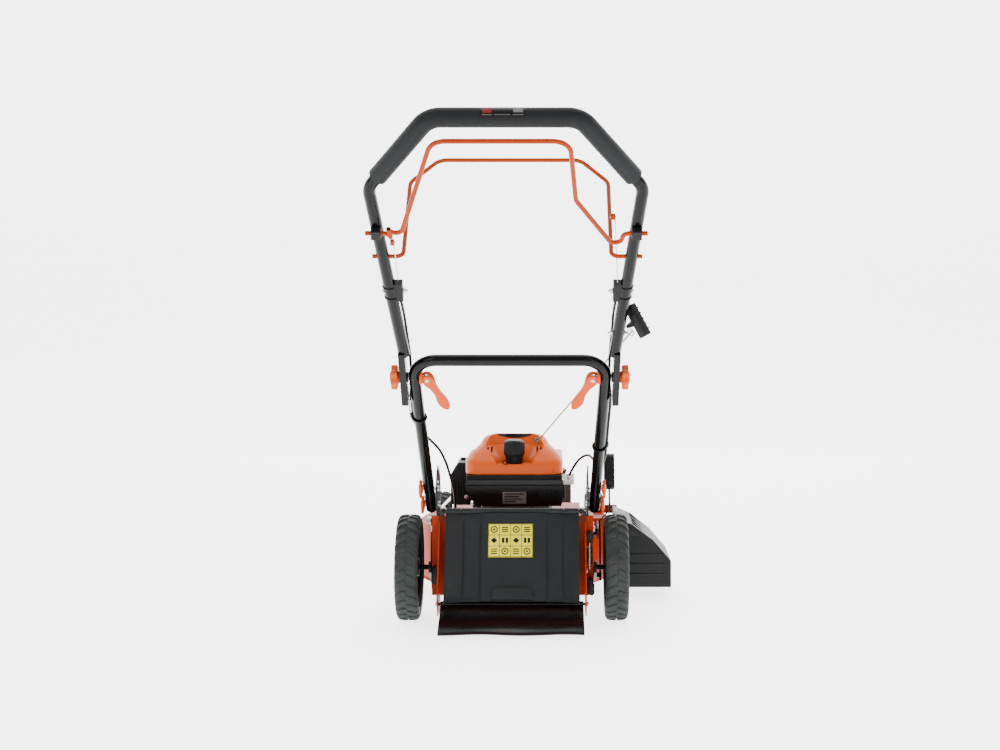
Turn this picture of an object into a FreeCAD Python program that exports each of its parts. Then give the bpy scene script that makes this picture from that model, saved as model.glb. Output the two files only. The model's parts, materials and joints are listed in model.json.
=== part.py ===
import FreeCAD, Part
import math
import os

import Sketcher
from FreeCAD import Placement, Rotation, Vector

# Self-propelled rotary mower, in millimetres.
# Mower axes: +X to the right seen from the operator, +Y forward, +Z up.
# The working datum is the ground below the rear wheels' axle, on the mid-plane.
# The finished parts are moved so that the origin is the centre of the whole footprint.

SIZES = {
    # handle: distances along the handle are measured down from the grip bar
    "tube_d": 25, "tube_wall": 1.5, "handle_incline": 49, "pivot_y": -2.2714, "pivot_z": 264.3477,
    "grip_d": 38, "grip_half": 141, "grip_short": 12, "top_bend": 46,
    "shoulder_half": 264, "shoulder_down": 165, "shoulder_bend": 42,
    "upper_foot_x": 221, "upper_foot_down": 612, "flat_x": 226, "flat_thick": 14, "flat_wide": 32,
    "flat_from": 600, "flat_to": 752, "joint_down": 680,
    "lower_top_half": 205, "lower_top_down": 630, "lower_bend": 48,
    "lower_foot_half": 187, "foot_past": 14, "slot_gap": 54, "pivot_bolt_down": 1094, "bracket_gap": 1,
    "bolt_d": 8, "fit_gap": 0.05, "wall_gap": 0.3, "washer_d": 18,
    # bails
    "drive_rod_d": 9.6, "drive_pivot_down": 265, "rod_gap": 0.7, "drive_reach": 270.5,
    "drive_open": 11.7, "drive_hook": 62, "drive_hook_x": 222, "drive_leg_x": 228,
    "drive_top_left": 132, "drive_top_right": 121, "drive_kink_x": 134, "drive_kink_reach": 101,
    "brake_rod_d": 9, "brake_pivot_down": 340, "brake_reach": 300, "brake_open": 88,
    "brake_shoulder_x": 207, "brake_shoulder_reach": 227, "brake_top_half": 149,
    "rod_bend": 14, "rod_top_bend": 34, "rod_past": 9,
    # handle fittings
    "saddle_long": 20, "saddle_wide": 20, "clamp_down": 432, "clamp_long": 46, "clamp_deep": 13,
    "guide_down": 550, "guide_ring": 7, "guide_wire": 2.5, "guide_out": 13,
    "cable_d": 6, "rope_d": 3.5, "knob_d": 54, "knob_long": 22, "small_knob_d": 43, "small_knob_long": 10,
    "cam_pin_x": 178, "cam_pin_d": 5, "cam_head": 11, "cam_thick": 17, "cam_slot": 8.8,
    "cam_long": 84, "cam_splay": 28, "eye_d": 13, "eye_thick": 7,
    "starter_grip_long": 74, "starter_grip_d": 26, "starter_grip_tilt": 28,
    # deck
    "crank_y": 325, "bowl_r": 235, "deck_top": 180, "skirt": 45, "steel": 3,
    "rear_half": 185, "rear_back": -15, "rear_top": 240, "rear_flat_y": 95, "rear_slope_y": 172,
    "rear_skirt": 58, "rear_end": 200, "nose_half": 165, "nose_y": 704, "nose_top": 150, "nose_skirt": 52,
    "mouth_half": 148, "mouth_low": 150, "wing_x": 165, "wing_low": 26,
    "side_mouth_y": 170, "side_mouth_low": 60, "side_mouth_top": 165,
    "chute_left": 43, "chute_low": 100, "cable_hole_x": 136, "cable_hole_y": 78,
    # flaps and their rods
    "rod_d": 6, "flap_rod_y": -22, "flap_rod_z": 252, "flap_end_y": -126, "flap_end_z": 62,
    "flap_half": 152, "flap_thick": 4, "flap_lip": 9,
    "shield_rod_y": -72, "shield_rod_z": 50, "shield_end_y": -196, "shield_end_z": 9,
    "shield_half": 161, "shield_thick": 4,
    "deflector_rod_x": 250, "deflector_rod_z": 190, "deflector_back": 222, "deflector_long": 196,
    "deflector_reach": 381, "deflector_low": 28, "deflector_wall": 4,
    # wheels and height adjustment
    "rear_wheel_r": 120, "rear_wheel_in": 211, "rear_wheel_w": 52, "rear_rim_r": 90,
    "front_wheel_r": 101.5, "front_wheel_in": 179, "front_wheel_w": 48, "front_rim_r": 74,
    "wheelbase": 620, "axle_d": 12, "axle_back": 62, "axle_drop": 30, "arm_thick": 6, "arm_half": 14,
    "arm_x": 187, "front_arm_x": 170.5, "link_arm": 125, "link_angle": 79.2, "link_pin_d": 7,
    "bush_d": 20, "bush_long": 5, "quadrant_x": 195, "quadrant_in": 96, "quadrant_out": 124,
    "lever_x": 201, "lever_thick": 4, "lever_bend_from": 125, "lever_bend_to": 150, "lever_shift": 23,
    "lever_angle": 75.6, "lever_long": 205, "lever_wide": 16, "loop_long": 84, "loop_wide": 44, "loop_thick": 24,
    # engine and drive
    "case_half": 82, "case_back": 245, "case_front": 405, "case_top": 295, "case_flange_r": 100,
    "cylinder_front": 505, "cylinder_half": 55, "fin_pitch": 10, "fin_thick": 3, "fin_deep": 9,
    "shaft_d": 25, "shaft_top_d": 20, "shaft_low": 86, "shaft_top": 334,
    "flywheel_d": 184, "flywheel_low": 300, "flywheel_thick": 32,
    "cover_half": 117, "cover_back": 186, "cover_front": 456, "cover_low": 314, "cover_step": 374,
    "cover_top": 404, "cover_wall": 3, "dome_half": 92, "dome_inset": 16, "cap_recess_r": 31,
    "reel_d": 100, "reel_low": 345, "reel_thick": 17, "post_d": 16,
    "eyelet_x": 54.5, "eyelet_z": 386, "eyelet_d": 9,
    "tank_half": 115, "tank_back": 140, "tank_front": 228, "tank_low": 238, "tank_top": 312,
    "cap_y": 166, "cap_d": 50, "cap_low": 338, "cap_high": 56, "neck_d": 38,
    "hub_d": 50, "hub_low": 86, "pulley_d": 60, "pulley_low": 126, "pulley_thick": 16,
    "blade_long": 456, "blade_wide": 52, "blade_thick": 4, "blade_low": 82,
    "belt_wide": 10, "belt_thick": 7, "gear_x": -95, "gear_y": 54,
}

# Sizes that follow from the ones above, so that mating pieces stay together
FOLLOWING = {
    "lower_foot_down": "=pivot_bolt_down + foot_past",
    "slot_bolt_down": "=pivot_bolt_down - slot_gap",
    "bracket_in": "=lower_foot_half - tube_d / 2 - bracket_gap - steel",
    "drive_offset": "=tube_d / 2 + drive_rod_d / 2 + rod_gap",
}

document = FreeCAD.newDocument("mower")
sheet = document.addObject("Spreadsheet::Sheet", "dim")
for row, (alias, value) in enumerate((SIZES | FOLLOWING).items(), start=1):
    sheet.set(f"A{row}", alias)
    sheet.set(f"B{row}", str(value))
    sheet.setAlias(f"B{row}", alias)
document.recompute()

X_AXIS = Vector(1, 0, 0)
Y_AXIS = Vector(0, 1, 0)
Z_AXIS = Vector(0, 0, 1)
SIDES = {"left": -1, "right": 1}
FOLD_FORWARD = 100
HEIGHT_TURN = 21.6
nodes = {}


def size(alias):
    """The number that the sheet holds under an alias."""
    return float(sheet.get(alias))


INCLINE = math.radians(size("handle_incline"))


def on_handle(across, down, out=0.0):
    """A point given across the mower, down the handle and out of its upper face."""
    past = down - size("pivot_bolt_down")
    forward = past * math.cos(INCLINE) + out * math.sin(INCLINE)
    height = -past * math.sin(INCLINE) + out * math.cos(INCLINE)
    return Vector(across, size("pivot_y") + forward, size("pivot_z") + height)


def drive_bar_rear():
    """The rearmost point of the drive bail's top bar, measured along Y."""
    pivot = on_handle(0, size("drive_pivot_down"), -size("drive_offset"))
    angle = math.radians(180 - size("handle_incline") + size("drive_open"))
    return pivot.y + size("drive_reach") * math.cos(angle) - size("drive_rod_d") / 2


REAR_OUTER = size("rear_wheel_in") + size("rear_wheel_w")
FRONT_END = size("wheelbase") + size("front_wheel_r")
FOOTPRINT = Vector((size("deflector_reach") - REAR_OUTER) / 2, (FRONT_END + drive_bar_rear()) / 2, 0)


def node(item, label, turn=Rotation(), point=Vector()):
    """Names a finished sub-part and puts it in its place in the footprint's frame."""
    item.Label = label
    item.Placement = Placement(point - FOOTPRINT, turn)
    nodes[label] = item
    return item


def handle_node(item, label, down=0.0, out=0.0, tilt=0.0):
    """Places a sub-part drawn in the handle's own plane, with +Y down the handle."""
    turn = Rotation(X_AXIS, -size("handle_incline") + tilt)
    return node(item, label, turn, on_handle(0, down, out))


# Part workbench pieces, sized by formulas

def formulas(item, **bound):
    """Binds properties of an object to formulas."""
    for name, formula in bound.items():
        item.setExpression(name, str(formula))
    return item


def move(item, corner):
    """Binds an object's place to three formulas."""
    for letter, formula in zip("xyz", corner):
        item.setExpression(f"Placement.Base.{letter}", str(formula))
    return item


def box(corner, length, width, height):
    """A box from its low corner, its sizes along X, Y and Z."""
    item = document.addObject("Part::Box", "Box")
    return move(formulas(item, Length=length, Width=width, Height=height), corner)


def rod(axis, base, radius, height):
    """A round bar from its base point along one of the axes."""
    item = document.addObject("Part::Cylinder", "Rod")
    item.Placement = Placement(Vector(), Rotation(Z_AXIS, axis))
    return move(formulas(item, Radius=radius, Height=height), base)


def cut(base, *tools):
    """One shape less the others."""
    item = document.addObject("Part::Cut", "Cut")
    item.Base = base
    item.Tool = tools[0] if len(tools) == 1 else fuse(*tools)
    return item


def fuse(*shapes):
    """Shapes joined into one."""
    item = document.addObject("Part::MultiFuse", "Fuse")
    item.Shapes = list(shapes)
    item.Refine = True
    return item


def group(*shapes):
    """Separate solids kept as one sub-part."""
    item = document.addObject("Part::Compound", "Group")
    item.Links = list(shapes)
    return item


def slab(outline, start, thick, axis="x"):
    """A plate of a straight-edged outline, padded along X or Y from a start."""
    body = new_body("Slab")
    plane = {"x": "YZ_Plane", "y": "XZ_Plane", "z": "XY_Plane"}[axis]
    pad(body, polygon(new_sketch(body, plane), outline), thick, backward=(axis == "y"))
    body.setExpression(f"Placement.Base.{axis}", str(start))
    return body


# Part Design pieces

def new_body(name):
    """An empty body."""
    return document.addObject("PartDesign::Body", name)


def origin_plane(body, role):
    """One of the body's own origin planes."""
    return next(item for item in body.Origin.OriginFeatures if item.Role == role)


def new_sketch(body, role, name="Profile"):
    """A sketch on one of the body's origin planes."""
    sketch = body.newObject("Sketcher::SketchObject", name)
    sketch.AttachmentSupport = [(origin_plane(body, role), "")]
    sketch.MapMode = "FlatFace"
    return sketch


def hold(sketch, kind, places, formula):
    """Adds a constraint whose value is a formula."""
    number = sketch.addConstraint(Sketcher.Constraint(kind, *places, 1.0))
    sketch.setExpression(f"Constraints[{number}]", str(formula))


def polygon(sketch, corners):
    """A closed outline of straight edges, each corner held by two formulas."""
    count = len(corners)
    turns = [2 * math.pi * number / count for number in range(count)]
    start = [Vector(100 * math.cos(turn), 100 * math.sin(turn), 0) for turn in turns]
    for number in range(count):
        sketch.addGeometry(Part.LineSegment(start[number], start[(number + 1) % count]))
    for number in range(count):
        sketch.addConstraint(Sketcher.Constraint("Coincident", number, 2, (number + 1) % count, 1))
    for number, (across, up) in enumerate(corners):
        hold(sketch, "DistanceX", (-1, 1, number, 1), across)
        hold(sketch, "DistanceY", (-1, 1, number, 1), up)
    return sketch


def circle(sketch, radius, across="0", up="0"):
    """A circle held by its radius and centre."""
    number = sketch.addGeometry(Part.Circle(Vector(), Z_AXIS, 10))
    hold(sketch, "Radius", (number,), radius)
    hold(sketch, "DistanceX", (-1, 1, number, 3), across)
    hold(sketch, "DistanceY", (-1, 1, number, 3), up)
    return sketch


def pad(body, sketch, length, middle=False, backward=False):
    """Pads a sketch, to one side or equally to both."""
    feature = body.newObject("PartDesign::Pad", "Pad")
    feature.Profile = sketch
    feature.SideType = "Symmetric" if middle else "One side"
    feature.Reversed = backward
    formulas(feature, Length=length)
    return feature


def bore_through(body, sketch):
    """Cuts a sketch through everything on both sides of its plane."""
    feature = body.newObject("PartDesign::Pocket", "Bore")
    feature.Profile = sketch
    feature.SideType = "Symmetric"
    feature.Type = "ThroughAll"
    return feature


def revolve(body, sketch, axis="H_Axis"):
    """Turns a sketch a full circle about one of its own axes."""
    feature = body.newObject("PartDesign::Revolution", "Turned")
    feature.Profile = sketch
    feature.ReferenceAxis = (sketch, [axis])
    feature.Angle = 360
    return feature


def mirror_x(body, *features):
    """Mirrors features to the other side of the mid-plane."""
    feature = body.newObject("PartDesign::Mirrored", "Mirrored")
    feature.Originals = list(features)
    feature.MirrorPlane = (origin_plane(body, "YZ_Plane"), [""])
    body.Tip = feature
    return feature


def corner_arc(before, corner, after, radius):
    """The arc that rounds a corner between two runs, as its start, middle and end."""
    back = (before - corner).normalize()
    ahead = (after - corner).normalize()
    half = back.getAngle(ahead) / 2
    reach = radius / math.tan(half)
    centre = corner + (back + ahead).normalize() * (radius / math.sin(half))
    start = corner + back * reach
    end = corner + ahead * reach
    middle = centre + (corner - centre).normalize() * radius
    return start, middle, end


def rounded_path(points, radii):
    """Straight runs through points, joined by tangent arcs of the given radii."""
    edges = []
    place = points[0]
    for number in range(1, len(points) - 1):
        start, middle, end = corner_arc(*points[number - 1:number + 2], radii[number - 1])
        edges.append(Part.LineSegment(place, start))
        edges.append(Part.Arc(start, middle, end))
        place = end
    edges.append(Part.LineSegment(place, points[-1]))
    return edges


def bent_tube(body, points, radii, outer, inner=None):
    """A round tube or rod along a path in the body's XY plane that starts across the YZ plane."""
    path = new_sketch(body, "XY_Plane", "Path")
    for edge in rounded_path([Vector(*point) for point in points], radii):
        path.addGeometry(edge)
    section = circle(new_sketch(body, "YZ_Plane", "Section"), outer, points[0][1])
    if inner:
        circle(section, inner, points[0][1])
    tube = body.newObject("PartDesign::AdditivePipe", "Tube")
    tube.Profile = (section, [""])
    tube.Spine = (path, [""])
    return tube


def swept_cord(points, diameter):
    """A round cord along straight runs and arcs as large as the runs allow."""
    radii = []
    for before, corner, after in zip(points, points[1:], points[2:]):
        turn = (corner - before).getAngle(after - corner)
        shorter = min((corner - before).Length, (after - corner).Length)
        radii.append(0.45 * shorter / math.tan(turn / 2))
    path = Part.Wire([edge.toShape() for edge in rounded_path(points, radii)])
    start = (points[1] - points[0]).normalize()
    ring = Part.Wire(Part.Circle(points[0], start, diameter / 2).toShape())
    solid = path.makePipeShell([ring], True, True)
    section = math.pi * diameter ** 2 / 4
    print(f"cord length {path.Length:.1f} volume ratio {solid.Volume / (section * path.Length):.4f}",
          "radii", [round(radius) for radius in radii])
    return solid


# Handle

def make_upper_handle():
    """Hexagonal upper handle with flattened lower ends."""
    body = new_body("UpperHandle")
    path = [(0, 0), (size("grip_half"), 0), (size("shoulder_half"), size("shoulder_down")),
            (size("upper_foot_x"), size("upper_foot_down"))]
    tube = bent_tube(body, path, [size("top_bend"), size("shoulder_bend")], "dim.tube_d / 2",
                     "dim.tube_d / 2 - dim.tube_wall")
    near = "dim.flat_x - dim.flat_thick / 2"
    far = "dim.flat_x + dim.flat_thick / 2"
    flat = polygon(new_sketch(body, "XY_Plane"), [
        (near, "dim.flat_from"), (far, "dim.flat_from"), (far, "dim.flat_to"), (near, "dim.flat_to")])
    mirror_x(body, tube, pad(body, flat, "dim.flat_wide", middle=True))
    holes = circle(new_sketch(body, "YZ_Plane"), "dim.bolt_d / 2 + dim.fit_gap", "dim.joint_down")
    circle(holes, "dim.brake_rod_d / 2 + dim.fit_gap", "dim.brake_pivot_down")
    bore_through(body, holes)
    handle_node(body, "upper_handle")


def make_foam_grip():
    """Foam sleeve over the top bar and both angled shoulders."""
    body = new_body("FoamGrip")
    top = Vector(size("grip_half"), 0, 0)
    shoulder = Vector(size("shoulder_half"), size("shoulder_down"), 0)
    end = shoulder + (top - shoulder).normalize() * (size("shoulder_bend") / 2 + size("grip_short"))
    path = [(0, 0), (top.x, top.y), (end.x, end.y)]
    sleeve = bent_tube(body, path, [size("top_bend")], "dim.grip_d / 2", "dim.tube_d / 2 + dim.fit_gap")
    mirror_x(body, sleeve)
    handle_node(body, "foam_grip")


def make_lower_handle():
    """Inverted U of the same tube, bolted to the brackets on the deck."""
    body = new_body("LowerHandle")
    path = [(0, size("lower_top_down")), (size("lower_top_half"), size("lower_top_down")),
            (size("lower_foot_half"), size("lower_foot_down"))]
    tube = bent_tube(body, path, [size("lower_bend")], "dim.tube_d / 2", "dim.tube_d / 2 - dim.tube_wall")
    mirror_x(body, tube)
    holes = new_sketch(body, "YZ_Plane")
    for down in ("joint_down", "slot_bolt_down", "pivot_bolt_down"):
        circle(holes, "dim.bolt_d / 2 + dim.fit_gap", f"dim.{down}")
    bore_through(body, holes)
    handle_node(body, "lower_handle")


def tube_centre(down):
    """How far from the mid-plane the upper handle's side tube is."""
    share = (down - size("shoulder_down")) / (size("upper_foot_down") - size("shoulder_down"))
    return size("shoulder_half") + share * (size("upper_foot_x") - size("shoulder_half"))


def leg_centre(down):
    """How far from the mid-plane the lower handle's leg is."""
    share = (down - size("lower_top_down")) / (size("lower_foot_down") - size("lower_top_down"))
    return size("lower_top_half") + share * (size("lower_foot_half") - size("lower_top_half"))


def make_drive_bail():
    """Thick rod bail, with a straight left arm and a kinked right one."""
    body = new_body("DriveBail")
    reach = size("drive_reach")
    hook = (size("drive_hook_x"), -size("drive_hook"))
    leg = size("drive_leg_x")
    end = tube_centre(size("drive_pivot_down")) + size("tube_d") / 2 + size("rod_past")
    tail = [hook, (leg, 0), (end, 0)]
    left = [(0, reach), (size("drive_top_left"), reach)] + tail
    kink = (size("drive_kink_x"), size("drive_kink_reach"))
    right = [(0, reach), (size("drive_top_right"), reach), kink] + tail
    bend = size("rod_bend")
    bent_tube(body, [(-x, y) for x, y in left], [size("rod_top_bend"), bend, bend], "dim.drive_rod_d / 2")
    bent_tube(body, right, [size("rod_top_bend"), size("rod_top_bend"), bend, bend], "dim.drive_rod_d / 2")
    handle_node(body, "drive_bail", size("drive_pivot_down"), -size("drive_offset"), 180 + size("drive_open"))


def make_brake_bail():
    """Thin rod bail whose ends turn in holes through the handle's tubes."""
    body = new_body("BrakeBail")
    end = tube_centre(size("brake_pivot_down")) + size("tube_d") / 2 + size("rod_past")
    shoulder = size("brake_shoulder_x")
    path = [(0, size("brake_reach")), (size("brake_top_half"), size("brake_reach")),
            (shoulder, size("brake_shoulder_reach")), (shoulder, 0), (end, 0)]
    top = size("rod_top_bend")
    mirror_x(body, bent_tube(body, path, [top, top, size("rod_bend")], "dim.brake_rod_d / 2"))
    handle_node(body, "brake_bail", size("brake_pivot_down"), 0, 180 - size("brake_open"))


def side_tube(side, down, length):
    """The round space that the upper handle's tube takes near a fitting."""
    top = Vector(side * tube_centre(down - length), down - length, 0)
    foot = Vector(side * tube_centre(down + length), down + length, 0)
    item = document.addObject("Part::Cylinder", "TubeSpace")
    formulas(item, Radius="dim.tube_d / 2 + dim.fit_gap")
    item.Height = (foot - top).Length
    item.Placement = Placement(top, Rotation(Z_AXIS, foot - top))
    return item


def make_tube_clamps():
    """Saddles for the drive bail and clamps for the cables, all on the upper handle's tubes."""
    pieces = []
    for side in SIDES.values():
        down = size("drive_pivot_down")
        centre = f"{side * tube_centre(down)}"
        saddle = box((f"{centre} - dim.saddle_wide / 2", "dim.drive_pivot_down - dim.saddle_long / 2",
                      "-dim.drive_offset - dim.drive_rod_d"),
                     "dim.saddle_wide", "dim.saddle_long", "dim.drive_offset + dim.drive_rod_d - 4")
        bore = rod(X_AXIS, (f"{centre} - dim.saddle_wide", "dim.drive_pivot_down", "-dim.drive_offset"),
                   "dim.drive_rod_d / 2 + dim.fit_gap", "dim.saddle_wide * 2")
        pieces.append(cut(saddle, bore, side_tube(side, down, 40)))
        down = size("clamp_down")
        inner = tube_centre(down) - size("tube_d") / 2 - size("clamp_deep")
        low = inner if side > 0 else -inner - size("clamp_deep") - 8
        clamp = box((low, "dim.clamp_down - dim.clamp_long / 2", -9), "dim.clamp_deep + 8", "dim.clamp_long", 18)
        pieces.append(cut(clamp, side_tube(side, down, 60)))
    handle_node(group(*pieces), "tube_clamps")


def guide_place():
    """The rope guide's ring centre, in the handle's plane."""
    across = tube_centre(size("guide_down")) + size("tube_d") / 2 + size("guide_out")
    return Vector(across, size("guide_down"), 0)


def rope_exit():
    """Where the rope passes through the recoil cover's wall."""
    return Vector(size("eyelet_x"), size("cover_back") + 3.5, size("eyelet_z"))


def rope_direction():
    """The way the rope runs, from the recoil cover to the guide on the handle."""
    return (on_handle(*guide_place()) - rope_exit()).normalize()


def make_rope_guide():
    """Bolt through the right tube's outer wall with a wire ring for the rope."""
    ring = document.addObject("Part::Torus", "Ring")
    formulas(ring, Radius1="dim.guide_ring", Radius2="dim.guide_wire / 2")
    along = Rotation(X_AXIS, size("handle_incline")).multVec(rope_direction())
    ring.Placement = Placement(guide_place(), Rotation(Z_AXIS, along))
    stem_from = tube_centre(size("guide_down")) + size("tube_d") / 2 + size("wall_gap") + 0.1
    stem_long = guide_place().x - size("guide_ring") - stem_from
    stem = rod(X_AXIS, (stem_from, "dim.guide_down", 0), "dim.guide_wire", stem_long)
    handle_node(fuse(ring, stem), "rope_guide")


def star_outline(sketch, radius, lobes=7, dip=0.12):
    """A star knob's outline, of round lobes."""
    points = []
    for number in range(lobes * 2):
        turn = math.pi * number / lobes
        reach = radius if number % 2 == 0 else radius * (1 - dip)
        points.append(Vector(reach * math.cos(turn), reach * math.sin(turn), 0))
    points.append(points[0])
    for number in range(0, lobes * 2, 2):
        before = points[number - 1] if number else points[-2]
        sketch.addGeometry(Part.Arc(before, points[number], points[number + 1]))
    return sketch


def make_knob(label, side, place, diameter, length):
    """Star knob on a bolt's end, with a blind bore for the bolt."""
    body = new_body("Knob")
    pad(body, star_outline(new_sketch(body, "YZ_Plane"), size(diameter) / 2), f"dim.{length}")
    hole = circle(new_sketch(body, "YZ_Plane"), "dim.bolt_d / 2 + dim.fit_gap")
    bore = body.newObject("PartDesign::Pocket", "Bore")
    bore.Profile = hole
    bore.Reversed = True
    formulas(bore, Length=f"dim.{length} - 3")
    turn = Rotation() if side > 0 else Rotation(Z_AXIS, 180)
    node(body, label, turn, place)


def make_knobs():
    """Large knobs at the handle joint and two smaller ones a side at the deck."""
    for word, side in SIDES.items():
        face = size("flat_x") + size("flat_thick") / 2 + size("wall_gap")
        make_knob(f"joint_knob_{word}", side, on_handle(side * face, size("joint_down")), "knob_d", "knob_long")
        for name, alias in (("upper", "slot_bolt_down"), ("lower", "pivot_bolt_down")):
            lean = leg_centre(0) - leg_centre(size("small_knob_d") / 2)
            face = leg_centre(size(alias)) + size("tube_d") / 2 + size("wall_gap") + lean
            make_knob(f"{name}_deck_knob_{word}", side, on_handle(side * face, size(alias)),
                      "small_knob_d", "small_knob_long")


def make_handle_bolts():
    """Joint bolts with an eye for the cam levers, and carriage bolts at the deck."""
    pieces = []
    for side in SIDES.values():
        start = "dim.cam_pin_x" if side > 0 else "-(dim.flat_x + dim.flat_thick / 2 + dim.knob_long - 5)"
        shank = rod(X_AXIS, (start, "dim.joint_down", 0), "dim.bolt_d / 2",
                    "dim.flat_x + dim.flat_thick / 2 + dim.knob_long - 5 - dim.cam_pin_x")
        eye = rod(Z_AXIS, (f"{side} * dim.cam_pin_x", "dim.joint_down", "-dim.eye_thick / 2"),
                  "dim.eye_d / 2", "dim.eye_thick")
        hole = rod(Z_AXIS, (f"{side} * dim.cam_pin_x", "dim.joint_down", "-dim.eye_thick"),
                   "dim.cam_pin_d / 2 + dim.fit_gap", "dim.eye_thick * 2")
        pieces.append(cut(fuse(shank, eye), hole))
        for alias in ("slot_bolt_down", "pivot_bolt_down"):
            inner = size("bracket_in") - 0.5
            outer = leg_centre(size(alias)) + size("tube_d") / 2 + size("small_knob_long") - 4
            start = inner if side > 0 else -outer
            head = inner - 4 if side > 0 else -inner
            pieces.append(fuse(rod(X_AXIS, (start, f"dim.{alias}", 0), "dim.bolt_d / 2", outer - inner),
                               rod(X_AXIS, (head, f"dim.{alias}", 0), "dim.bolt_d * 0.9", 4)))
    handle_node(group(*pieces), "handle_bolts")


def make_cam_lever(word, side):
    """Forked cam lever that turns about a pin through the joint bolt's eye."""
    splay = math.radians(size("cam_splay"))
    along = Vector(-side * math.sin(splay), math.cos(splay), 0)
    across = Vector(-along.y, along.x, 0)
    body = new_body("CamLever")
    sketch = new_sketch(body, "XY_Plane")
    head = size("cam_head")
    reach = size("cam_long")
    waist = [along * head + across * 6, along * (0.55 * reach) + across * 5.5, along * (reach - 10) + across * 10.5]
    tip = [along * (reach + 2)]
    back = [point - across * (2 * across.dot(point)) for point in reversed(waist)]
    for start, end in zip(waist + tip + back, (waist + tip + back)[1:]):
        sketch.addGeometry(Part.LineSegment(start, end))
    sketch.addGeometry(Part.Arc(back[-1], along * -head, waist[0]))
    pad(body, sketch, "dim.cam_thick", middle=True)
    fork = rod(Z_AXIS, ("0", "0", "-dim.cam_slot / 2"), "dim.cam_head + 1.5", "dim.cam_slot")
    pin = rod(Z_AXIS, ("0", "0", "-dim.cam_thick / 2"), "dim.cam_pin_d / 2", "dim.cam_thick")
    lever = fuse(cut(body, fork), pin)
    turn = Rotation(X_AXIS, -size("handle_incline"))
    node(lever, f"cam_lever_{word}", turn, on_handle(side * size("cam_pin_x"), size("joint_down")))


# Deck

def make_deck_shell():
    """Pressed steel deck: bowl, raised rear housing and nose, hollow below."""
    sheet_steel = size("steel")

    def hull(inset, drop):
        bowl = rod(Z_AXIS, (0, "dim.crank_y", f"dim.skirt - {drop}"), f"dim.bowl_r - {inset}",
                   f"dim.deck_top - dim.skirt + {drop} - {inset}")
        rear = slab([(f"dim.rear_back + {inset}", f"dim.rear_skirt - {drop}"),
                     (f"dim.rear_back + {inset}", f"dim.rear_top - {inset}"),
                     (f"dim.rear_flat_y - {inset} / 2", f"dim.rear_top - {inset}"),
                     (f"dim.rear_slope_y - {inset} / 2", f"dim.deck_top - {inset}"),
                     ("dim.rear_end", f"dim.deck_top - {inset}"),
                     ("dim.rear_end", f"dim.rear_skirt - {drop}")],
                    f"-dim.rear_half + {inset}", f"2 * dim.rear_half - 2 * {inset}")
        nose_start = size("crank_y") + size("bowl_r") - 80
        nose = slab([(nose_start, f"dim.nose_skirt - {drop}"), (nose_start, f"dim.deck_top - {inset}"),
                     ("dim.nose_y - 120", f"dim.deck_top - {inset}"),
                     (f"dim.nose_y - 30 - {inset} / 2", f"dim.nose_top - {inset}"),
                     (f"dim.nose_y - {inset}", f"dim.nose_top - 30 - {inset}"),
                     (f"dim.nose_y - {inset}", f"dim.nose_skirt - {drop}")],
                    f"-dim.nose_half + {inset}", f"2 * dim.nose_half - 2 * {inset}")
        return fuse(bowl, rear, nose)

    shell = cut(hull(0, 0), hull(sheet_steel, 30))
    wing = [("dim.rear_back", "dim.wing_low"), ("dim.rear_back", "dim.rear_top - 4"),
            ("dim.rear_back - 14", "dim.rear_top - 12"), ("dim.flap_end_y + 8", "dim.flap_end_z + 4"),
            ("dim.shield_rod_y - 14", "dim.wing_low")]
    wings = [slab(wing, start, "dim.steel") for start in ("dim.wing_x", "-dim.wing_x - dim.steel")]
    ears = [box(("dim.deflector_rod_x - 60", start, "dim.deck_top - dim.steel"), 67, 6, 21)
            for start in ("dim.deflector_back - 9", "dim.deflector_back + dim.deflector_long + 3")]
    mouth = box(("-dim.mouth_half", "dim.rear_back - 5", "dim.mouth_low"), "2 * dim.mouth_half", 30,
                "dim.rear_top - dim.steel - 6 - dim.mouth_low")
    side = box(("dim.bowl_r - 60", "dim.crank_y - dim.side_mouth_y / 2", "dim.side_mouth_low"), 80,
               "dim.side_mouth_y", "dim.side_mouth_top - dim.side_mouth_low")
    throat = box(("-dim.chute_left", 60, "dim.chute_low + 4"), 183, 100, "dim.deck_top - dim.steel - dim.chute_low - 4")
    belt_way = box(("dim.gear_x - 45", 85, "dim.pulley_low - 8"), 108, 60, 30)
    crank_hole = rod(Z_AXIS, (0, "dim.crank_y", "dim.deck_top - 20"), "dim.shaft_d", 40)
    cable_hole = rod(Z_AXIS, ("-dim.cable_hole_x", "dim.cable_hole_y", "dim.rear_top - 20"),
                     "dim.cable_d / 2 + 1", 40)
    rear_bush = rod(X_AXIS, (-300, "dim.axle_back", "dim.rear_wheel_r - dim.axle_drop"), "dim.bush_d / 2", 600)
    front_bush = rod(X_AXIS, (-300, "dim.wheelbase + dim.axle_back", "dim.front_wheel_r - dim.axle_drop"),
                     "dim.bush_d / 2", 600)
    flap_rod = rod(Y_AXIS, ("dim.deflector_rod_x", 100, "dim.deflector_rod_z"), "dim.rod_d / 2 + dim.fit_gap", 500)
    shield_rod = rod(X_AXIS, (-300, "dim.shield_rod_y", "dim.shield_rod_z"), "dim.rod_d / 2 + dim.fit_gap", 600)
    whole = fuse(shell, *wings, *ears)
    node(cut(whole, mouth, side, throat, belt_way, crank_hole, cable_hole, rear_bush, front_bush, flap_rod,
             shield_rod), "deck_shell")


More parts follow.
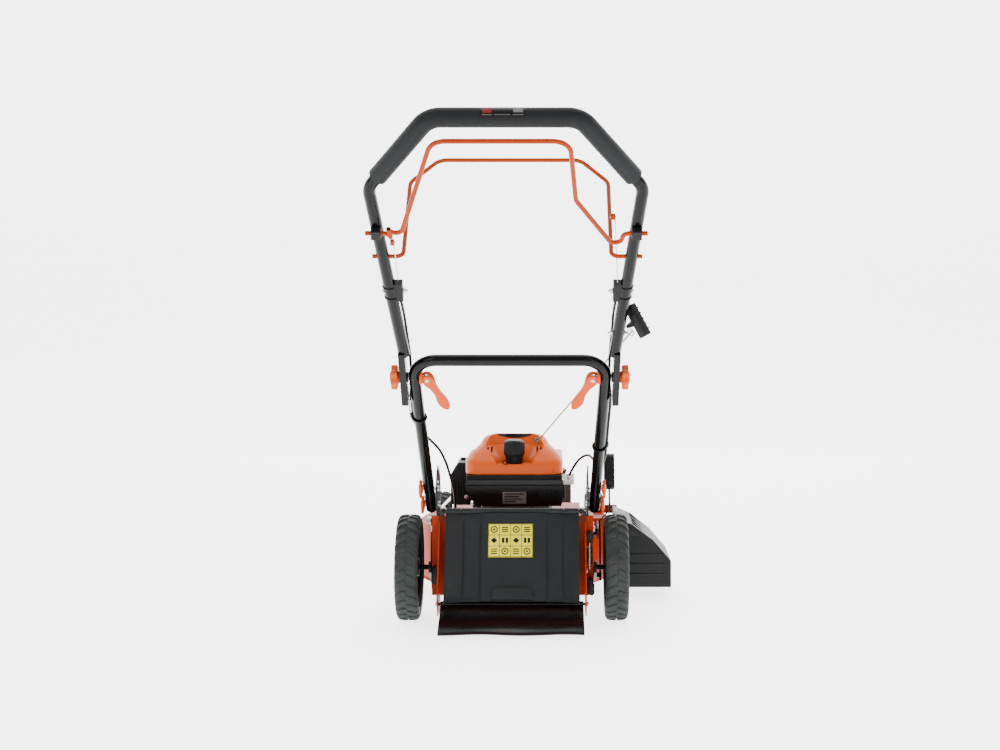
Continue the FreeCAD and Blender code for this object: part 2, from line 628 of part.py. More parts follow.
def make_chute():
    """Sloping floor and inner wall that lead the grass up to the rear opening."""
    floor = slab([("dim.rear_back + dim.steel + 1", "dim.mouth_low - 4"), (82, "dim.chute_low - 2"),
                  (82, "dim.chute_low + 2"), ("dim.rear_back + dim.steel + 1", "dim.mouth_low")],
                 "-dim.chute_left", "dim.chute_left + dim.rear_half - dim.steel - 1")
    wall = slab([("dim.rear_back + dim.steel + 1", "dim.mouth_low"), (82, "dim.chute_low + 2"), (82, 214),
                 ("dim.rear_back + dim.steel + 1", 214)], "-dim.chute_left", 4)
    node(fuse(floor, wall), "discharge_chute")


def make_bracket(word, side):
    """Upright plate with the pivot hole and an open arc slot for the second bolt, on a foot."""
    start = "dim.bracket_in" if side > 0 else "-dim.bracket_in - dim.steel"
    top = "dim.rear_top"
    plate = slab([(-14, top), (-50, f"{top} + 22"), (-63, f"{top} + 62"), (-26, f"{top} + 106"),
                  (0, f"{top} + 114"), (60, f"{top} + 84"), (80, f"{top} + 40"), (80, top)], start, "dim.steel")
    foot = box((start if side < 0 else f"{start} - 14", -12, top), "dim.steel + 14", 92, "dim.steel")
    pivot = on_handle(0, size("pivot_bolt_down"))
    second = on_handle(0, size("slot_bolt_down"))
    radius = (second - pivot).Length
    half = size("bolt_d") / 2 + 0.4
    start_turn = math.atan2(second.z - pivot.z, second.y - pivot.y)
    end_turn = start_turn - math.radians(FOLD_FORWARD)
    slot = document.addObject("Part::Feature", "ArcSlot")

    def spoke(reach, turn):
        return Vector(0, pivot.y + reach * math.cos(turn), pivot.z + reach * math.sin(turn))

    middle_turn = (start_turn + end_turn) / 2
    spread = half / radius
    outer = Part.Arc(spoke(radius + half, start_turn), spoke(radius + half, middle_turn),
                     spoke(radius + half, end_turn))
    inner = Part.Arc(spoke(radius - half, end_turn), spoke(radius - half, middle_turn),
                     spoke(radius - half, start_turn))
    far = Part.Arc(spoke(radius + half, end_turn), spoke(radius, end_turn - spread), spoke(radius - half, end_turn))
    near = Part.Arc(spoke(radius - half, start_turn), spoke(radius, start_turn + spread),
                    spoke(radius + half, start_turn))
    outline = Part.Wire([arc.toShape() for arc in (outer, far, inner, near)])
    slot.Shape = Part.Face(outline).extrude(Vector(600, 0, 0))
    slot.Placement = Placement(Vector(-300, 0, 0), Rotation())
    hole = rod(X_AXIS, (-300, pivot.y, pivot.z), "dim.bolt_d / 2 + dim.fit_gap", 600)
    node(cut(fuse(plate, foot), slot, hole), f"handle_bracket_{word}")


def make_hinge_rods():
    """Rods of the rear flap, the trailing shield and the side deflector."""
    flap = rod(X_AXIS, ("-dim.wing_x", "dim.flap_rod_y", "dim.flap_rod_z"), "dim.rod_d / 2", "2 * dim.wing_x")
    posts = [box((start, "dim.flap_rod_y - 5", "dim.rear_top - 12"), 4, "dim.rear_back - dim.flap_rod_y + 5",
                 "dim.flap_rod_z - dim.rear_top + 17") for start in ("dim.wing_x - 4.5", "-dim.wing_x + 0.5")]
    shield = rod(X_AXIS, ("-dim.wing_x - 6", "dim.shield_rod_y", "dim.shield_rod_z"), "dim.rod_d / 2",
                 "2 * dim.wing_x + 12")
    side = rod(Y_AXIS, ("dim.deflector_rod_x", "dim.deflector_back - 12", "dim.deflector_rod_z"),
               "dim.rod_d / 2", "dim.deflector_long + 24")
    node(group(fuse(flap, *posts), shield, side), "hinge_rods")


def hinged_plate(rod_y, rod_z, end_y, end_z, half, thick):
    """A sloping plate with a knuckle round its rod, bored for it."""
    run = math.hypot(size(end_y) - size(rod_y), size(end_z) - size(rod_z))
    step_y = (size(end_z) - size(rod_z)) / run
    step_z = -(size(end_y) - size(rod_y)) / run
    plate = slab([(f"dim.{rod_y} + {step_y} * 3", f"dim.{rod_z} + {step_z} * 3"),
                  (f"dim.{end_y} + {step_y} * 3", f"dim.{end_z} + {step_z} * 3"),
                  (f"dim.{end_y} + {step_y} * (3 - dim.{thick})", f"dim.{end_z} + {step_z} * (3 - dim.{thick})"),
                  (f"dim.{rod_y} + {step_y} * (3 - dim.{thick})", f"dim.{rod_z} + {step_z} * (3 - dim.{thick})")],
                 f"-dim.{half}", f"2 * dim.{half}")
    knuckle = rod(X_AXIS, (f"-dim.{half}", f"dim.{rod_y}", f"dim.{rod_z}"), "dim.rod_d / 2 + 4", f"2 * dim.{half}")
    bore = rod(X_AXIS, (-300, f"dim.{rod_y}", f"dim.{rod_z}"), "dim.rod_d / 2 + dim.fit_gap", 600)
    return plate, knuckle, bore


def make_rear_flap():
    """Sprung plastic flap over the rear opening, with side lips."""
    plate, knuckle, bore = hinged_plate("flap_rod_y", "flap_rod_z", "flap_end_y", "flap_end_z", "flap_half",
                                        "flap_thick")
    lips = [slab([("dim.flap_rod_y - 12", "dim.flap_rod_z - 12"), ("dim.flap_end_y", "dim.flap_end_z"),
                  ("dim.flap_end_y + 16", "dim.flap_end_z + 2"), ("dim.flap_rod_y - 4", "dim.flap_rod_z - 22")],
                 start, "dim.flap_thick") for start in ("-dim.flap_half", "dim.flap_half - dim.flap_thick")]
    node(cut(fuse(plate, knuckle, *lips), bore), "rear_flap")


def make_trailing_shield():
    """Rubber sheet that drags behind the deck."""
    plate, knuckle, bore = hinged_plate("shield_rod_y", "shield_rod_z", "shield_end_y", "shield_end_z",
                                        "shield_half", "shield_thick")
    node(cut(fuse(plate, knuckle), bore), "trailing_shield")


def make_side_deflector():
    """Hood over the side opening, open below and towards the deck."""
    def prism(inset, start, long):
        outline = [("dim.deflector_rod_x - 4", f"dim.deflector_low - {inset} * 3"),
                   ("dim.deflector_rod_x - 4", f"dim.deflector_rod_z - 6 - {inset}"),
                   ("dim.deflector_rod_x", f"dim.deflector_rod_z + 6 - {inset}"),
                   ("dim.deflector_reach - 96", f"dim.deflector_rod_z - 9 - {inset}"),
                   (f"dim.deflector_reach - 43 - {inset} / 2", f"dim.deflector_rod_z - 48 - {inset}"),
                   (f"dim.deflector_reach - {inset}", f"dim.deflector_rod_z - 98 - {inset} / 2"),
                   (f"dim.deflector_reach - {inset}", f"dim.deflector_low - {inset} * 3")]
        return slab(outline, start, long, axis="y")

    outer = prism(0, "dim.deflector_back", "dim.deflector_long")
    inner = prism(size("deflector_wall"), "dim.deflector_back + dim.deflector_wall",
                  "dim.deflector_long - 2 * dim.deflector_wall")
    inward = box(("dim.deflector_rod_x - 30", "dim.deflector_back + dim.deflector_wall", 0), 30,
                 "dim.deflector_long - 2 * dim.deflector_wall", "dim.deflector_rod_z - 10")
    knuckle = rod(Y_AXIS, ("dim.deflector_rod_x", "dim.deflector_back", "dim.deflector_rod_z"),
                  "dim.rod_d / 2 + 4", "dim.deflector_long")
    bore = rod(Y_AXIS, ("dim.deflector_rod_x", 0, "dim.deflector_rod_z"), "dim.rod_d / 2 + dim.fit_gap", 700)
    node(cut(fuse(cut(outer, inner, inward), knuckle), bore), "side_deflector")


# Wheels and cutting height

def make_wheel(name, radius, width, rim, inner, centre, side, word):
    """A tyre and its rim, both turned about the axle."""
    w = f"dim.{width}"
    r = f"dim.{radius}"
    start = f"dim.{inner}" if side > 0 else f"-dim.{inner} - {w}"
    tyre = new_body("Tyre")
    revolve(tyre, polygon(new_sketch(tyre, "XZ_Plane"), [
        (f"{w} * 0.1", f"dim.{rim}"), (0, f"dim.{rim} + 6"), (0, f"{r} - 10"), (f"{w} * 0.16", f"{r} - 1.5"),
        (f"{w} * 0.3", r), (f"{w} * 0.7", r), (f"{w} * 0.84", f"{r} - 1.5"), (w, f"{r} - 10"),
        (w, f"dim.{rim} + 6"), (f"{w} * 0.9", f"dim.{rim}")]))
    place = Vector(size(inner) if side > 0 else -size(inner) - size(width), centre.y, centre.z)
    node(tyre, f"{name}_tyre_{word}", Rotation(), place)
    bore = "dim.axle_d / 2 + dim.fit_gap"
    seat = f"dim.{rim} - dim.fit_gap"
    near, far = (("0.08", "0.62") if side > 0 else ("0.38", "0.92"))
    hub = new_body("Rim")
    revolve(hub, polygon(new_sketch(hub, "XZ_Plane"), [
        (f"{w} * 0.06", bore), (f"{w} * 0.94", bore), (f"{w} * 0.94", "dim.axle_d + 8"),
        (f"{w} * {far}", "dim.axle_d + 12"), (f"{w} * {far}", f"{seat} - 8"), (f"{w} * 0.9", f"{seat} - 5"),
        (f"{w} * 0.9", seat), (f"{w} * 0.1", seat), (f"{w} * 0.1", f"{seat} - 5"),
        (f"{w} * {far} - 5", f"{seat} - 12"), (f"{w} * {far} - 5", "dim.axle_d + 14"),
        (f"{w} * 0.06", "dim.axle_d + 8")] if side > 0 else [
        (f"{w} * 0.94", bore), (f"{w} * 0.06", bore), (f"{w} * 0.06", "dim.axle_d + 8"),
        (f"{w} * {near}", "dim.axle_d + 12"), (f"{w} * {near}", f"{seat} - 8"), (f"{w} * 0.1", f"{seat} - 5"),
        (f"{w} * 0.1", seat), (f"{w} * 0.9", seat), (f"{w} * 0.9", f"{seat} - 5"),
        (f"{w} * {near} + 5", f"{seat} - 12"), (f"{w} * {near} + 5", "dim.axle_d + 14"),
        (f"{w} * 0.94", "dim.axle_d + 8")]))
    node(hub, f"{name}_rim_{word}", Rotation(), place)


def make_wheels():
    """Two rear wheels and two smaller front ones."""
    for word, side in SIDES.items():
        make_wheel("rear", "rear_wheel_r", "rear_wheel_w", "rear_rim_r", "rear_wheel_in",
                   Vector(0, 0, size("rear_wheel_r")), side, word)
        make_wheel("front", "front_wheel_r", "front_wheel_w", "front_rim_r", "front_wheel_in",
                   Vector(0, size("wheelbase"), size("front_wheel_r")), side, word)


def arm_plate(start, far_y, far_z):
    """A flat link between the axle's pivot at the sketch origin and another point."""
    body = new_body("Arm")
    run = math.hypot(far_y, far_z)
    along = Vector(far_y / run, far_z / run, 0)
    across = Vector(-along.y, along.x, 0) * size("arm_half")
    far = along * run
    sketch = new_sketch(body, "YZ_Plane")
    sketch.addGeometry(Part.LineSegment(across, far + across))
    sketch.addGeometry(Part.Arc(far + across, far + along * size("arm_half"), far - across))
    sketch.addGeometry(Part.LineSegment(far - across, -across))
    sketch.addGeometry(Part.Arc(-across, along * -size("arm_half"), across))
    pad(body, sketch, "dim.arm_thick")
    body.setExpression("Placement.Base.x", str(start))
    return body


def link_pin():
    """The height link's pin, seen from the axle's pivot, as Y and Z."""
    turn = math.radians(size("link_angle"))
    return size("link_arm") * math.cos(turn), size("link_arm") * math.sin(turn)


def make_axle(label, arm_x, wheel_in, wheel_w, pivot, link_side_start, extra=()):
    """A cranked axle: cross rod, two crank arms, two stubs and the link's upright arm."""
    back = -size("axle_back")
    up = size("axle_drop")
    reach = size(wheel_in) + size(wheel_w) - 3 - size(arm_x)
    parts = [rod(X_AXIS, (f"-dim.{arm_x} - 2", 0, 0), "dim.axle_d / 2", f"2 * dim.{arm_x} + 4")]
    for start, stub in ((f"dim.{arm_x}", f"dim.{arm_x} + 1"), (f"-dim.{arm_x} - dim.arm_thick",
                                                              f"-dim.{arm_x} - {reach}")):
        parts.append(arm_plate(start, back, up))
        parts.append(rod(X_AXIS, (stub, back, up), "dim.axle_d / 2", reach - 1))
    pin_y, pin_z = link_pin()
    parts.append(arm_plate(f"-dim.{arm_x} - dim.arm_thick", pin_y, pin_z))
    parts.append(rod(X_AXIS, (link_side_start, pin_y, pin_z), "dim.link_pin_d / 2", 15))
    parts += extra
    node(fuse(*parts), label, Rotation(), pivot)


def make_axles():
    """Rear and front cranked axles, alike but for their tracks."""
    spindle = rod(X_AXIS, ("dim.arm_x", 0, 0), "dim.axle_d / 2", "dim.lever_x + dim.lever_thick - dim.arm_x + 1")
    rear = Vector(0, size("axle_back"), size("rear_wheel_r") - size("axle_drop"))
    front = Vector(0, size("wheelbase") + size("axle_back"), size("front_wheel_r") - size("axle_drop"))
    make_axle("rear_axle", "arm_x", "rear_wheel_in", "rear_wheel_w", rear,
              "-dim.arm_x - dim.arm_thick - 10", [spindle])
    make_axle("front_axle", "front_arm_x", "front_wheel_in", "front_wheel_w", front,
              "-dim.front_arm_x - 6")


def make_height_link():
    """Long rod between the two axles' upright arms, with an eye at each end."""
    pin_y, pin_z = link_pin()
    rear_x = -size("arm_x") - size("arm_thick") - 5.5
    front_x = -size("front_arm_x") + 5.5
    rear = Vector(rear_x, size("axle_back") + pin_y, size("rear_wheel_r") - size("axle_drop") + pin_z)
    front = Vector(front_x, rear.y + size("wheelbase"), size("front_wheel_r") - size("axle_drop") + pin_z)
    bar = document.addObject("Part::Cylinder", "Bar")
    bar.Radius = 3.5
    bar.Height = (front - rear).Length
    bar.Placement = Placement(rear, Rotation(Z_AXIS, front - rear))
    eyes = [rod(X_AXIS, (place.x - 3.5, place.y, place.z), "dim.link_pin_d / 2 + 5", 7) for place in (rear, front)]
    holes = [rod(X_AXIS, (place.x - 20, place.y, place.z), "dim.link_pin_d / 2 + dim.fit_gap", 40)
             for place in (rear, front)]
    node(cut(fuse(bar, *eyes), *holes), "height_link")


def make_axle_bushes():
    """Plastic bushes that carry both axles in the deck's sides."""
    bushes = []
    for wall, y, z in (("dim.rear_half", "dim.axle_back", "dim.rear_wheel_r - dim.axle_drop"),
                       ("dim.nose_half", "dim.wheelbase + dim.axle_back", "dim.front_wheel_r - dim.axle_drop")):
        for side in SIDES.values():
            start = f"{wall} - dim.steel - 1" if side > 0 else f"-{wall} - 1"
            ring = rod(X_AXIS, (start, y, z), "dim.bush_d / 2 - dim.fit_gap", "dim.bush_long")
            hole = rod(X_AXIS, (-300, y, z), "dim.axle_d / 2 + dim.fit_gap", 600)
            bushes.append(cut(ring, hole))
    node(group(*bushes), "axle_bushes")


def sector(inner, outer, start, end):
    """A flat ring sector in the sketch's plane, as edges, angles in degrees."""
    def spoke(reach, angle):
        turn = math.radians(angle)
        return Vector(reach * math.cos(turn), reach * math.sin(turn), 0)

    middle = (start + end) / 2
    return [Part.Arc(spoke(outer, start), spoke(outer, middle), spoke(outer, end)),
            Part.LineSegment(spoke(outer, end), spoke(inner, end)),
            Part.Arc(spoke(inner, end), spoke(inner, middle), spoke(inner, start)),
            Part.LineSegment(spoke(inner, start), spoke(outer, start))]


def make_height_quadrant():
    """Notched sector plate beside the lever, on a foot from the deck's side."""
    body = new_body("Quadrant")
    sketch = new_sketch(body, "YZ_Plane")
    for edge in sector(size("quadrant_in"), size("quadrant_out"), 52, 112):
        sketch.addGeometry(edge)
    pad(body, sketch, "dim.steel")
    body.setExpression("Placement.Base.x", "dim.quadrant_x")
    notches = []
    for number in range(6):
        turn = math.radians(size("lever_angle") + number * HEIGHT_TURN / 5)
        reach = size("quadrant_out")
        notches.append(rod(X_AXIS, (150, reach * math.cos(turn), reach * math.sin(turn)), 3.2, 100))
    foot_turn = math.radians(55)
    middle = (size("quadrant_in") + size("quadrant_out")) / 2
    foot = rod(X_AXIS, ("dim.rear_half", middle * math.cos(foot_turn), middle * math.sin(foot_turn)), 8,
               "dim.quadrant_x - dim.rear_half + 1")
    place = Vector(0, size("axle_back"), size("rear_wheel_r") - size("axle_drop"))
    node(fuse(cut(body, *notches), foot), "height_quadrant", Rotation(), place)


def make_height_lever():
    """Flat lever on the rear axle's spindle, cranked outwards, with a loop grip."""
    x = size("lever_x")
    thick = size("lever_thick")
    shift = size("lever_shift")
    low, bend, top = size("lever_bend_from"), size("lever_bend_to"), size("lever_long")
    body = new_body("Lever")
    sketch = polygon(new_sketch(body, "XZ_Plane"), [
        (x, -14), (x + thick, -14), (x + thick, low), (x + thick + shift, bend), (x + thick + shift, top),
        (x + shift, top), (x + shift, bend), (x, low)])
    pad(body, sketch, "dim.lever_wide", middle=True)
    loop_low = top - 6
    middle_x = x + shift + thick / 2
    frame = rounded_block(middle_x - size("loop_thick") / 2, -size("loop_wide") / 2, loop_low,
                          size("loop_thick"), size("loop_wide"), size("loop_long"), 18)
    hole = rounded_block(middle_x - size("loop_thick"), -size("loop_wide") / 2 + 11, loop_low + 14,
                         size("loop_thick") * 2, size("loop_wide") - 22, size("loop_long") - 26, 10)
    bore = rod(X_AXIS, ("dim.lever_x - 20", 0, 0), "dim.axle_d / 2", 60)
    lever = cut(fuse(body, cut(frame, hole)), bore)
    place = Vector(0, size("axle_back"), size("rear_wheel_r") - size("axle_drop"))
    node(lever, "height_lever", Rotation(X_AXIS, size("lever_angle") - 90), place)


def rounded_block(x, y, z, length, width, height, radius):
    """A box with its four edges along X rounded."""
    block = box((x, y, z), length, width, height)
    document.recompute()
    rounded = document.addObject("Part::Fillet", "Rounded")
    rounded.Base = block
    along = [number for number, edge in enumerate(block.Shape.Edges, start=1)
             if abs(edge.tangentAt(edge.FirstParameter).x) > 0.9]
    rounded.Edges = [(number, radius, radius) for number in along]
    return rounded


# Engine and drive

def make_crankcase():
    """Engine block on its mounting flange, bored for the crankshaft."""
    flange = rod(Z_AXIS, (0, "dim.crank_y", "dim.deck_top"), "dim.case_flange_r", 12)
    block = box(("-dim.case_half", "dim.case_back", "dim.deck_top"), "2 * dim.case_half",
                "dim.case_front - dim.case_back", "dim.case_top - dim.deck_top")
    bore = rod(Z_AXIS, (0, "dim.crank_y", 100), "dim.shaft_d / 2 + dim.fit_gap", 300)
    node(cut(fuse(flange, block), bore), "crankcase")


def make_cylinder():
    """Finned cylinder and head, pointing forward."""
    y = "dim.case_front"
    core = box(("-dim.cylinder_half + dim.fin_deep", y, "dim.deck_top + 22"),
               "2 * (dim.cylinder_half - dim.fin_deep)", "dim.cylinder_front - dim.case_front", 76)
    fins = []
    for number in range(int((size("cylinder_front") - size("case_front") - 8) / size("fin_pitch"))):
        fins.append(box(("-dim.cylinder_half", f"{y} + 6 + dim.fin_pitch * {number}", "dim.deck_top + 16"),
                        "2 * dim.cylinder_half", "dim.fin_thick", 88))
    node(fuse(core, *fins), "cylinder")


def make_muffler():
    """Pressed silencer box on the right, against the cylinder's side."""
    body = box((62, "dim.case_front + 3", "dim.deck_top + 26"), 78, 88, 62)
    port = rod(X_AXIS, ("dim.cylinder_half", 444, "dim.deck_top + 56"), 11, 10)
    outlet = rod(Y_AXIS, (112, 490, "dim.deck_top + 50"), 9, 18)
    node(fuse(body, port, outlet), "muffler")


def make_air_filter_box():
    """Chamfered filter box on the left."""
    clear = "-dim.cover_half - 1.5"
    outline = [(-157, 232), (-157, 300), (-138, 330), (clear, 330), (clear, "dim.cover_low - 2"),
               (-109, "dim.cover_low - 2"), (-109, 226), (-150, 226)]
    case = slab(outline, "dim.tank_front + 10", 104, axis="y")
    screw = rod(Z_AXIS, (-129, 290, 328), 6, 8)
    node(fuse(case, screw), "air_filter_box")


def make_carburettor():
    """Carburettor body between the filter box and the engine block."""
    throat = rod(X_AXIS, (-109, 276, 250), 15, "109 - dim.case_half")
    body = box((-104, 262, 222), 18, 30, 44)
    bowl = rod(Z_AXIS, (-95, 277, 204), 11, 22)
    node(fuse(throat, body, bowl), "carburettor")


def make_fuel_tank():
    """Tank behind the engine with a filler neck."""
    body = slab([("-dim.tank_half + 22", "dim.tank_low"), ("dim.tank_half - 3", "dim.tank_low"),
                 ("dim.tank_half", "dim.tank_low + 8"), ("dim.tank_half", "dim.tank_top"),
                 ("-dim.tank_half", "dim.tank_top"), ("-dim.tank_half", "dim.tank_low + 42")],
                "dim.tank_back", "dim.tank_front - dim.tank_back", axis="y")
    neck = rod(Z_AXIS, (0, "dim.cap_y", "dim.tank_top - 2"), "dim.neck_d / 2",
               "dim.cap_low + 14 - dim.tank_top")
    node(fuse(body, neck), "fuel_tank")


def make_fuel_cap():
    """Cap that turns on the tank's neck."""
    outer = rod(Z_AXIS, (0, "dim.cap_y", "dim.cap_low"), "dim.cap_d / 2", "dim.cap_high")
    inner = rod(Z_AXIS, (0, "dim.cap_y", "dim.cap_low - 5"), "dim.neck_d / 2 + 0.1", "5 + 17")
    node(cut(outer, inner), "fuel_cap")


def make_recoil_cover():
    """Stepped blower cover with a recess for the fuel cap and a post for the reel."""
    def stack(inset, drop):
        body = rounded_cover(0, size("cover_half") - inset, size("cover_back") + inset,
                             size("cover_front") - inset, size("cover_low") - drop,
                             size("cover_step") - inset, 34 - inset)
        dome = rounded_cover(0, size("dome_half") - inset, size("cover_back") + 2 + inset,
                             size("cover_front") - size("dome_inset") - inset,
                             size("cover_step") - inset - 5, size("cover_top") - inset, 30 - inset)
        return fuse(body, dome)

    wall = rod(Z_AXIS, (0, "dim.cap_y", "dim.cover_low - 20"), "dim.cap_recess_r + dim.cover_wall", 200)
    shell = cut(stack(0, 0), cut(stack(size("cover_wall"), 10), wall))
    recess = rod(Z_AXIS, (0, "dim.cap_y", "dim.cover_low - 20"), "dim.cap_recess_r", 200)
    post = rod(Z_AXIS, (0, "dim.crank_y", "dim.reel_low - 2"), "dim.post_d / 2",
               "dim.cover_top - dim.cover_wall - dim.reel_low + 3")
    eyelet = rod(Y_AXIS, ("dim.eyelet_x", "dim.cover_back - 10", "dim.eyelet_z"), "dim.eyelet_d / 2", 30)
    node(fuse(cut(shell, recess, eyelet), post), "recoil_cover")


def rounded_cover(x, half, back, front, low, top, radius):
    """A box about the mid-plane with its upright edges rounded."""
    block = box((x - half, back, low), 2 * half, front - back, top - low)
    document.recompute()
    rounded = document.addObject("Part::Fillet", "Rounded")
    rounded.Base = block
    upright = [number for number, edge in enumerate(block.Shape.Edges, start=1)
               if abs(edge.tangentAt(edge.FirstParameter).z) > 0.9]
    rounded.Edges = [(number, radius, radius) for number in upright]
    return rounded


def ring_disc(z, outer, inner, thick, y="dim.crank_y", x=0):
    """A flat disc with a bore."""
    disc = rod(Z_AXIS, (x, y, z), outer, thick)
    hole = rod(Z_AXIS, (x, y, f"{z} - 50"), inner, 200)
    return cut(disc, hole)


def make_rotating_parts():
    """Crankshaft, flywheel, reel, blade adapter with its pulley, blade and bolt."""
    low = rod(Z_AXIS, (0, "dim.crank_y", "dim.shaft_low"), "dim.shaft_d / 2",
              "dim.flywheel_low - 1 - dim.shaft_low")
    top = rod(Z_AXIS, (0, "dim.crank_y", "dim.shaft_low"), "dim.shaft_top_d / 2", "dim.shaft_top - dim.shaft_low")
    thread = rod(Z_AXIS, (0, "dim.crank_y", "dim.shaft_low - 5"), "dim.bolt_d / 2 + dim.fit_gap", 30)
    node(cut(fuse(low, top), thread), "crankshaft")
    node(ring_disc("dim.flywheel_low", "dim.flywheel_d / 2", "dim.shaft_top_d / 2 + dim.fit_gap",
                   "dim.flywheel_thick"), "flywheel")
    node(ring_disc("dim.reel_low", "dim.reel_d / 2", "dim.post_d / 2 + dim.fit_gap", "dim.reel_thick"),
         "starter_reel")
    hub = ring_disc("dim.hub_low", "dim.hub_d / 2", "dim.shaft_d / 2 + dim.fit_gap",
                    "dim.pulley_low + dim.pulley_thick - dim.hub_low")
    pulley = ring_disc("dim.pulley_low", "dim.pulley_d / 2", "dim.shaft_d / 2 + dim.fit_gap", "dim.pulley_thick")
    node(fuse(hub, pulley), "blade_adapter")
    bar = box(("-dim.blade_long / 2", "dim.crank_y - dim.blade_wide / 2", "dim.blade_low"), "dim.blade_long",
              "dim.blade_wide", "dim.blade_thick")
    hole = rod(Z_AXIS, (0, "dim.crank_y", 0), "dim.bolt_d / 2 + dim.fit_gap", 200)
    node(cut(bar, hole), "blade")
    shank = rod(Z_AXIS, (0, "dim.crank_y", "dim.blade_low - 8"), "dim.bolt_d / 2", 28)
    head = rod(Z_AXIS, (0, "dim.crank_y", "dim.blade_low - 9"), "dim.bolt_d", 9)
    node(fuse(shank, head), "blade_bolt")


def make_gearbox():
    """Drive gearbox round the rear axle rod, with its input pulley above."""
    height = "dim.rear_wheel_r - dim.axle_drop"
    block = box(("dim.gear_x - 25", "dim.gear_y - 26", f"{height} - 26"), 50, 56, 54)
    bore = rod(X_AXIS, (-300, "dim.axle_back", height), "dim.axle_d / 2 + dim.fit_gap", 600)
    pin = rod(Z_AXIS, ("dim.gear_x", "dim.gear_y", f"{height} + 20"), 6, 32)
    lug = box(("-dim.cable_hole_x - 9", "dim.cable_hole_y - 9", f"{height} + 14"), 30, 14, 5)
    end = rod(Z_AXIS, ("-dim.cable_hole_x", "dim.cable_hole_y", 0), "dim.cable_d / 2 + dim.fit_gap", 200)
    node(fuse(cut(block, bore), pin, cut(lug, end)), "gearbox")
    node(ring_disc("dim.pulley_low", "dim.pulley_d / 2", "6 + dim.fit_gap", "dim.pulley_thick", "dim.gear_y",
                   "dim.gear_x"), "gearbox_pulley")


def belt_outline(radius, start, end):
    """A closed loop round two equal circles."""
    along = (end - start).normalize()
    across = Vector(-along.y, along.x, 0)
    edges = [Part.LineSegment(start + across * radius, end + across * radius),
             Part.Arc(end + across * radius, end + along * radius, end - across * radius),
             Part.LineSegment(end - across * radius, start - across * radius),
             Part.Arc(start - across * radius, start - along * radius, start + across * radius)]
    return Part.Face(Part.Wire([edge.toShape() for edge in edges]))


def make_drive_belt():
    """Flat loop round the engine's and the gearbox's pulleys."""
    start = Vector(size("gear_x"), size("gear_y"), 0)
    end = Vector(0, size("crank_y"), 0)
    inner = size("pulley_d") / 2 + size("wall_gap")
    ring = belt_outline(inner + size("belt_thick"), start, end).cut(belt_outline(inner, start, end))
    belt = document.addObject("Part::Feature", "Belt")
    belt.Shape = ring.extrude(Vector(0, 0, size("belt_wide")))
    low = size("pulley_low") + (size("pulley_thick") - size("belt_wide")) / 2
    node(belt, "drive_belt", Rotation(), Vector(0, 0, low))


# Starter and cables

def make_starter():
    """Rope from the cover to the guide, and the grip docked on the guide."""
    ring = on_handle(*guide_place())
    direction = rope_direction()
    inside = rope_exit() - direction * 5
    rope = document.addObject("Part::Feature", "Rope")
    rope.Shape = Part.makeCylinder(size("rope_d") / 2, (ring - inside).Length + 3, Vector(), direction)
    node(rope, "starter_rope", Rotation(), inside)
    tilt = math.radians(size("starter_grip_tilt"))
    upward = Vector(-math.sin(tilt), 0.12, math.cos(tilt)).normalize()
    centre = ring + Vector(13, -21, 26)
    foot = ring + direction * 5
    bar = document.addObject("Part::Cylinder", "GripBar")
    formulas(bar, Radius="dim.starter_grip_d / 2", Height="dim.starter_grip_long")
    bar.Placement = Placement(centre - upward * (size("starter_grip_long") / 2), Rotation(Z_AXIS, upward))
    nose = document.addObject("Part::Cylinder", "GripNose")
    nose.Radius = 4
    nose.Height = (centre - foot).Length
    nose.Placement = Placement(foot, Rotation(Z_AXIS, centre - foot))
    node(fuse(bar, nose), "starter_grip")


def make_cables():
    """Drive cable on the left and brake cable on the right, from the clamps to the machine."""
    clamp = size("clamp_down") + size("clamp_long") / 2
    for label, side in (("drive_cable", -1), ("brake_cable", 1)):
        inward = size("tube_d") / 2 + size("cable_d") / 2 + 1.5
        points = [on_handle(side * (tube_centre(clamp) - inward), clamp + 1, 0),
                  on_handle(side * (tube_centre(clamp + 45) - inward), clamp + 45, 3),
                  on_handle(side * 215, clamp + 100, 20),
                  on_handle(side * 212, size("joint_down") - 50, 26), on_handle(side * 212, size("joint_down") + 24, 26),
                  on_handle(side * 217, size("joint_down") + 82, 12)]
        if side < 0:
            points += [on_handle(-216, 815, 8), on_handle(-207, 858, 22), on_handle(-186, 896, 24),
                       Vector(-163, -76, 400), Vector(-150, -24, 360), Vector(-141, 28, 310),
                       Vector(-size("cable_hole_x"), size("cable_hole_y"), 266),
                       Vector(-size("cable_hole_x"), size("cable_hole_y"), 98)]
        else:
            points += [on_handle(213.5, 830, 7), on_handle(211.5, 895, 8), on_handle(208.5, 955, 12),
                       on_handle(197, 1000, 28), Vector(176, 2, 380), Vector(155, 66, 362), Vector(139, 122, 330),
                       Vector(131, 178, 304)]
        cable = document.addObject("Part::Feature", "Cable")
        cable.Shape = swept_cord(points, size("cable_d"))
        node(cable, label)


def make_brake_bracket():
    """Angle bracket on the engine that holds the brake cable's end."""
    arm = box(("dim.case_half", 246, 284), 56, 18, 3)
    lug = box((118, 181, 284), 26, 70, 3)
    upright = box((118, 181, 284), 26, 3, 26)
    hole = rod(Y_AXIS, (131, 170, 301), "dim.cable_d / 2 + 0.6", 40)
    node(cut(fuse(arm, lug, upright), hole), "brake_cable_bracket")


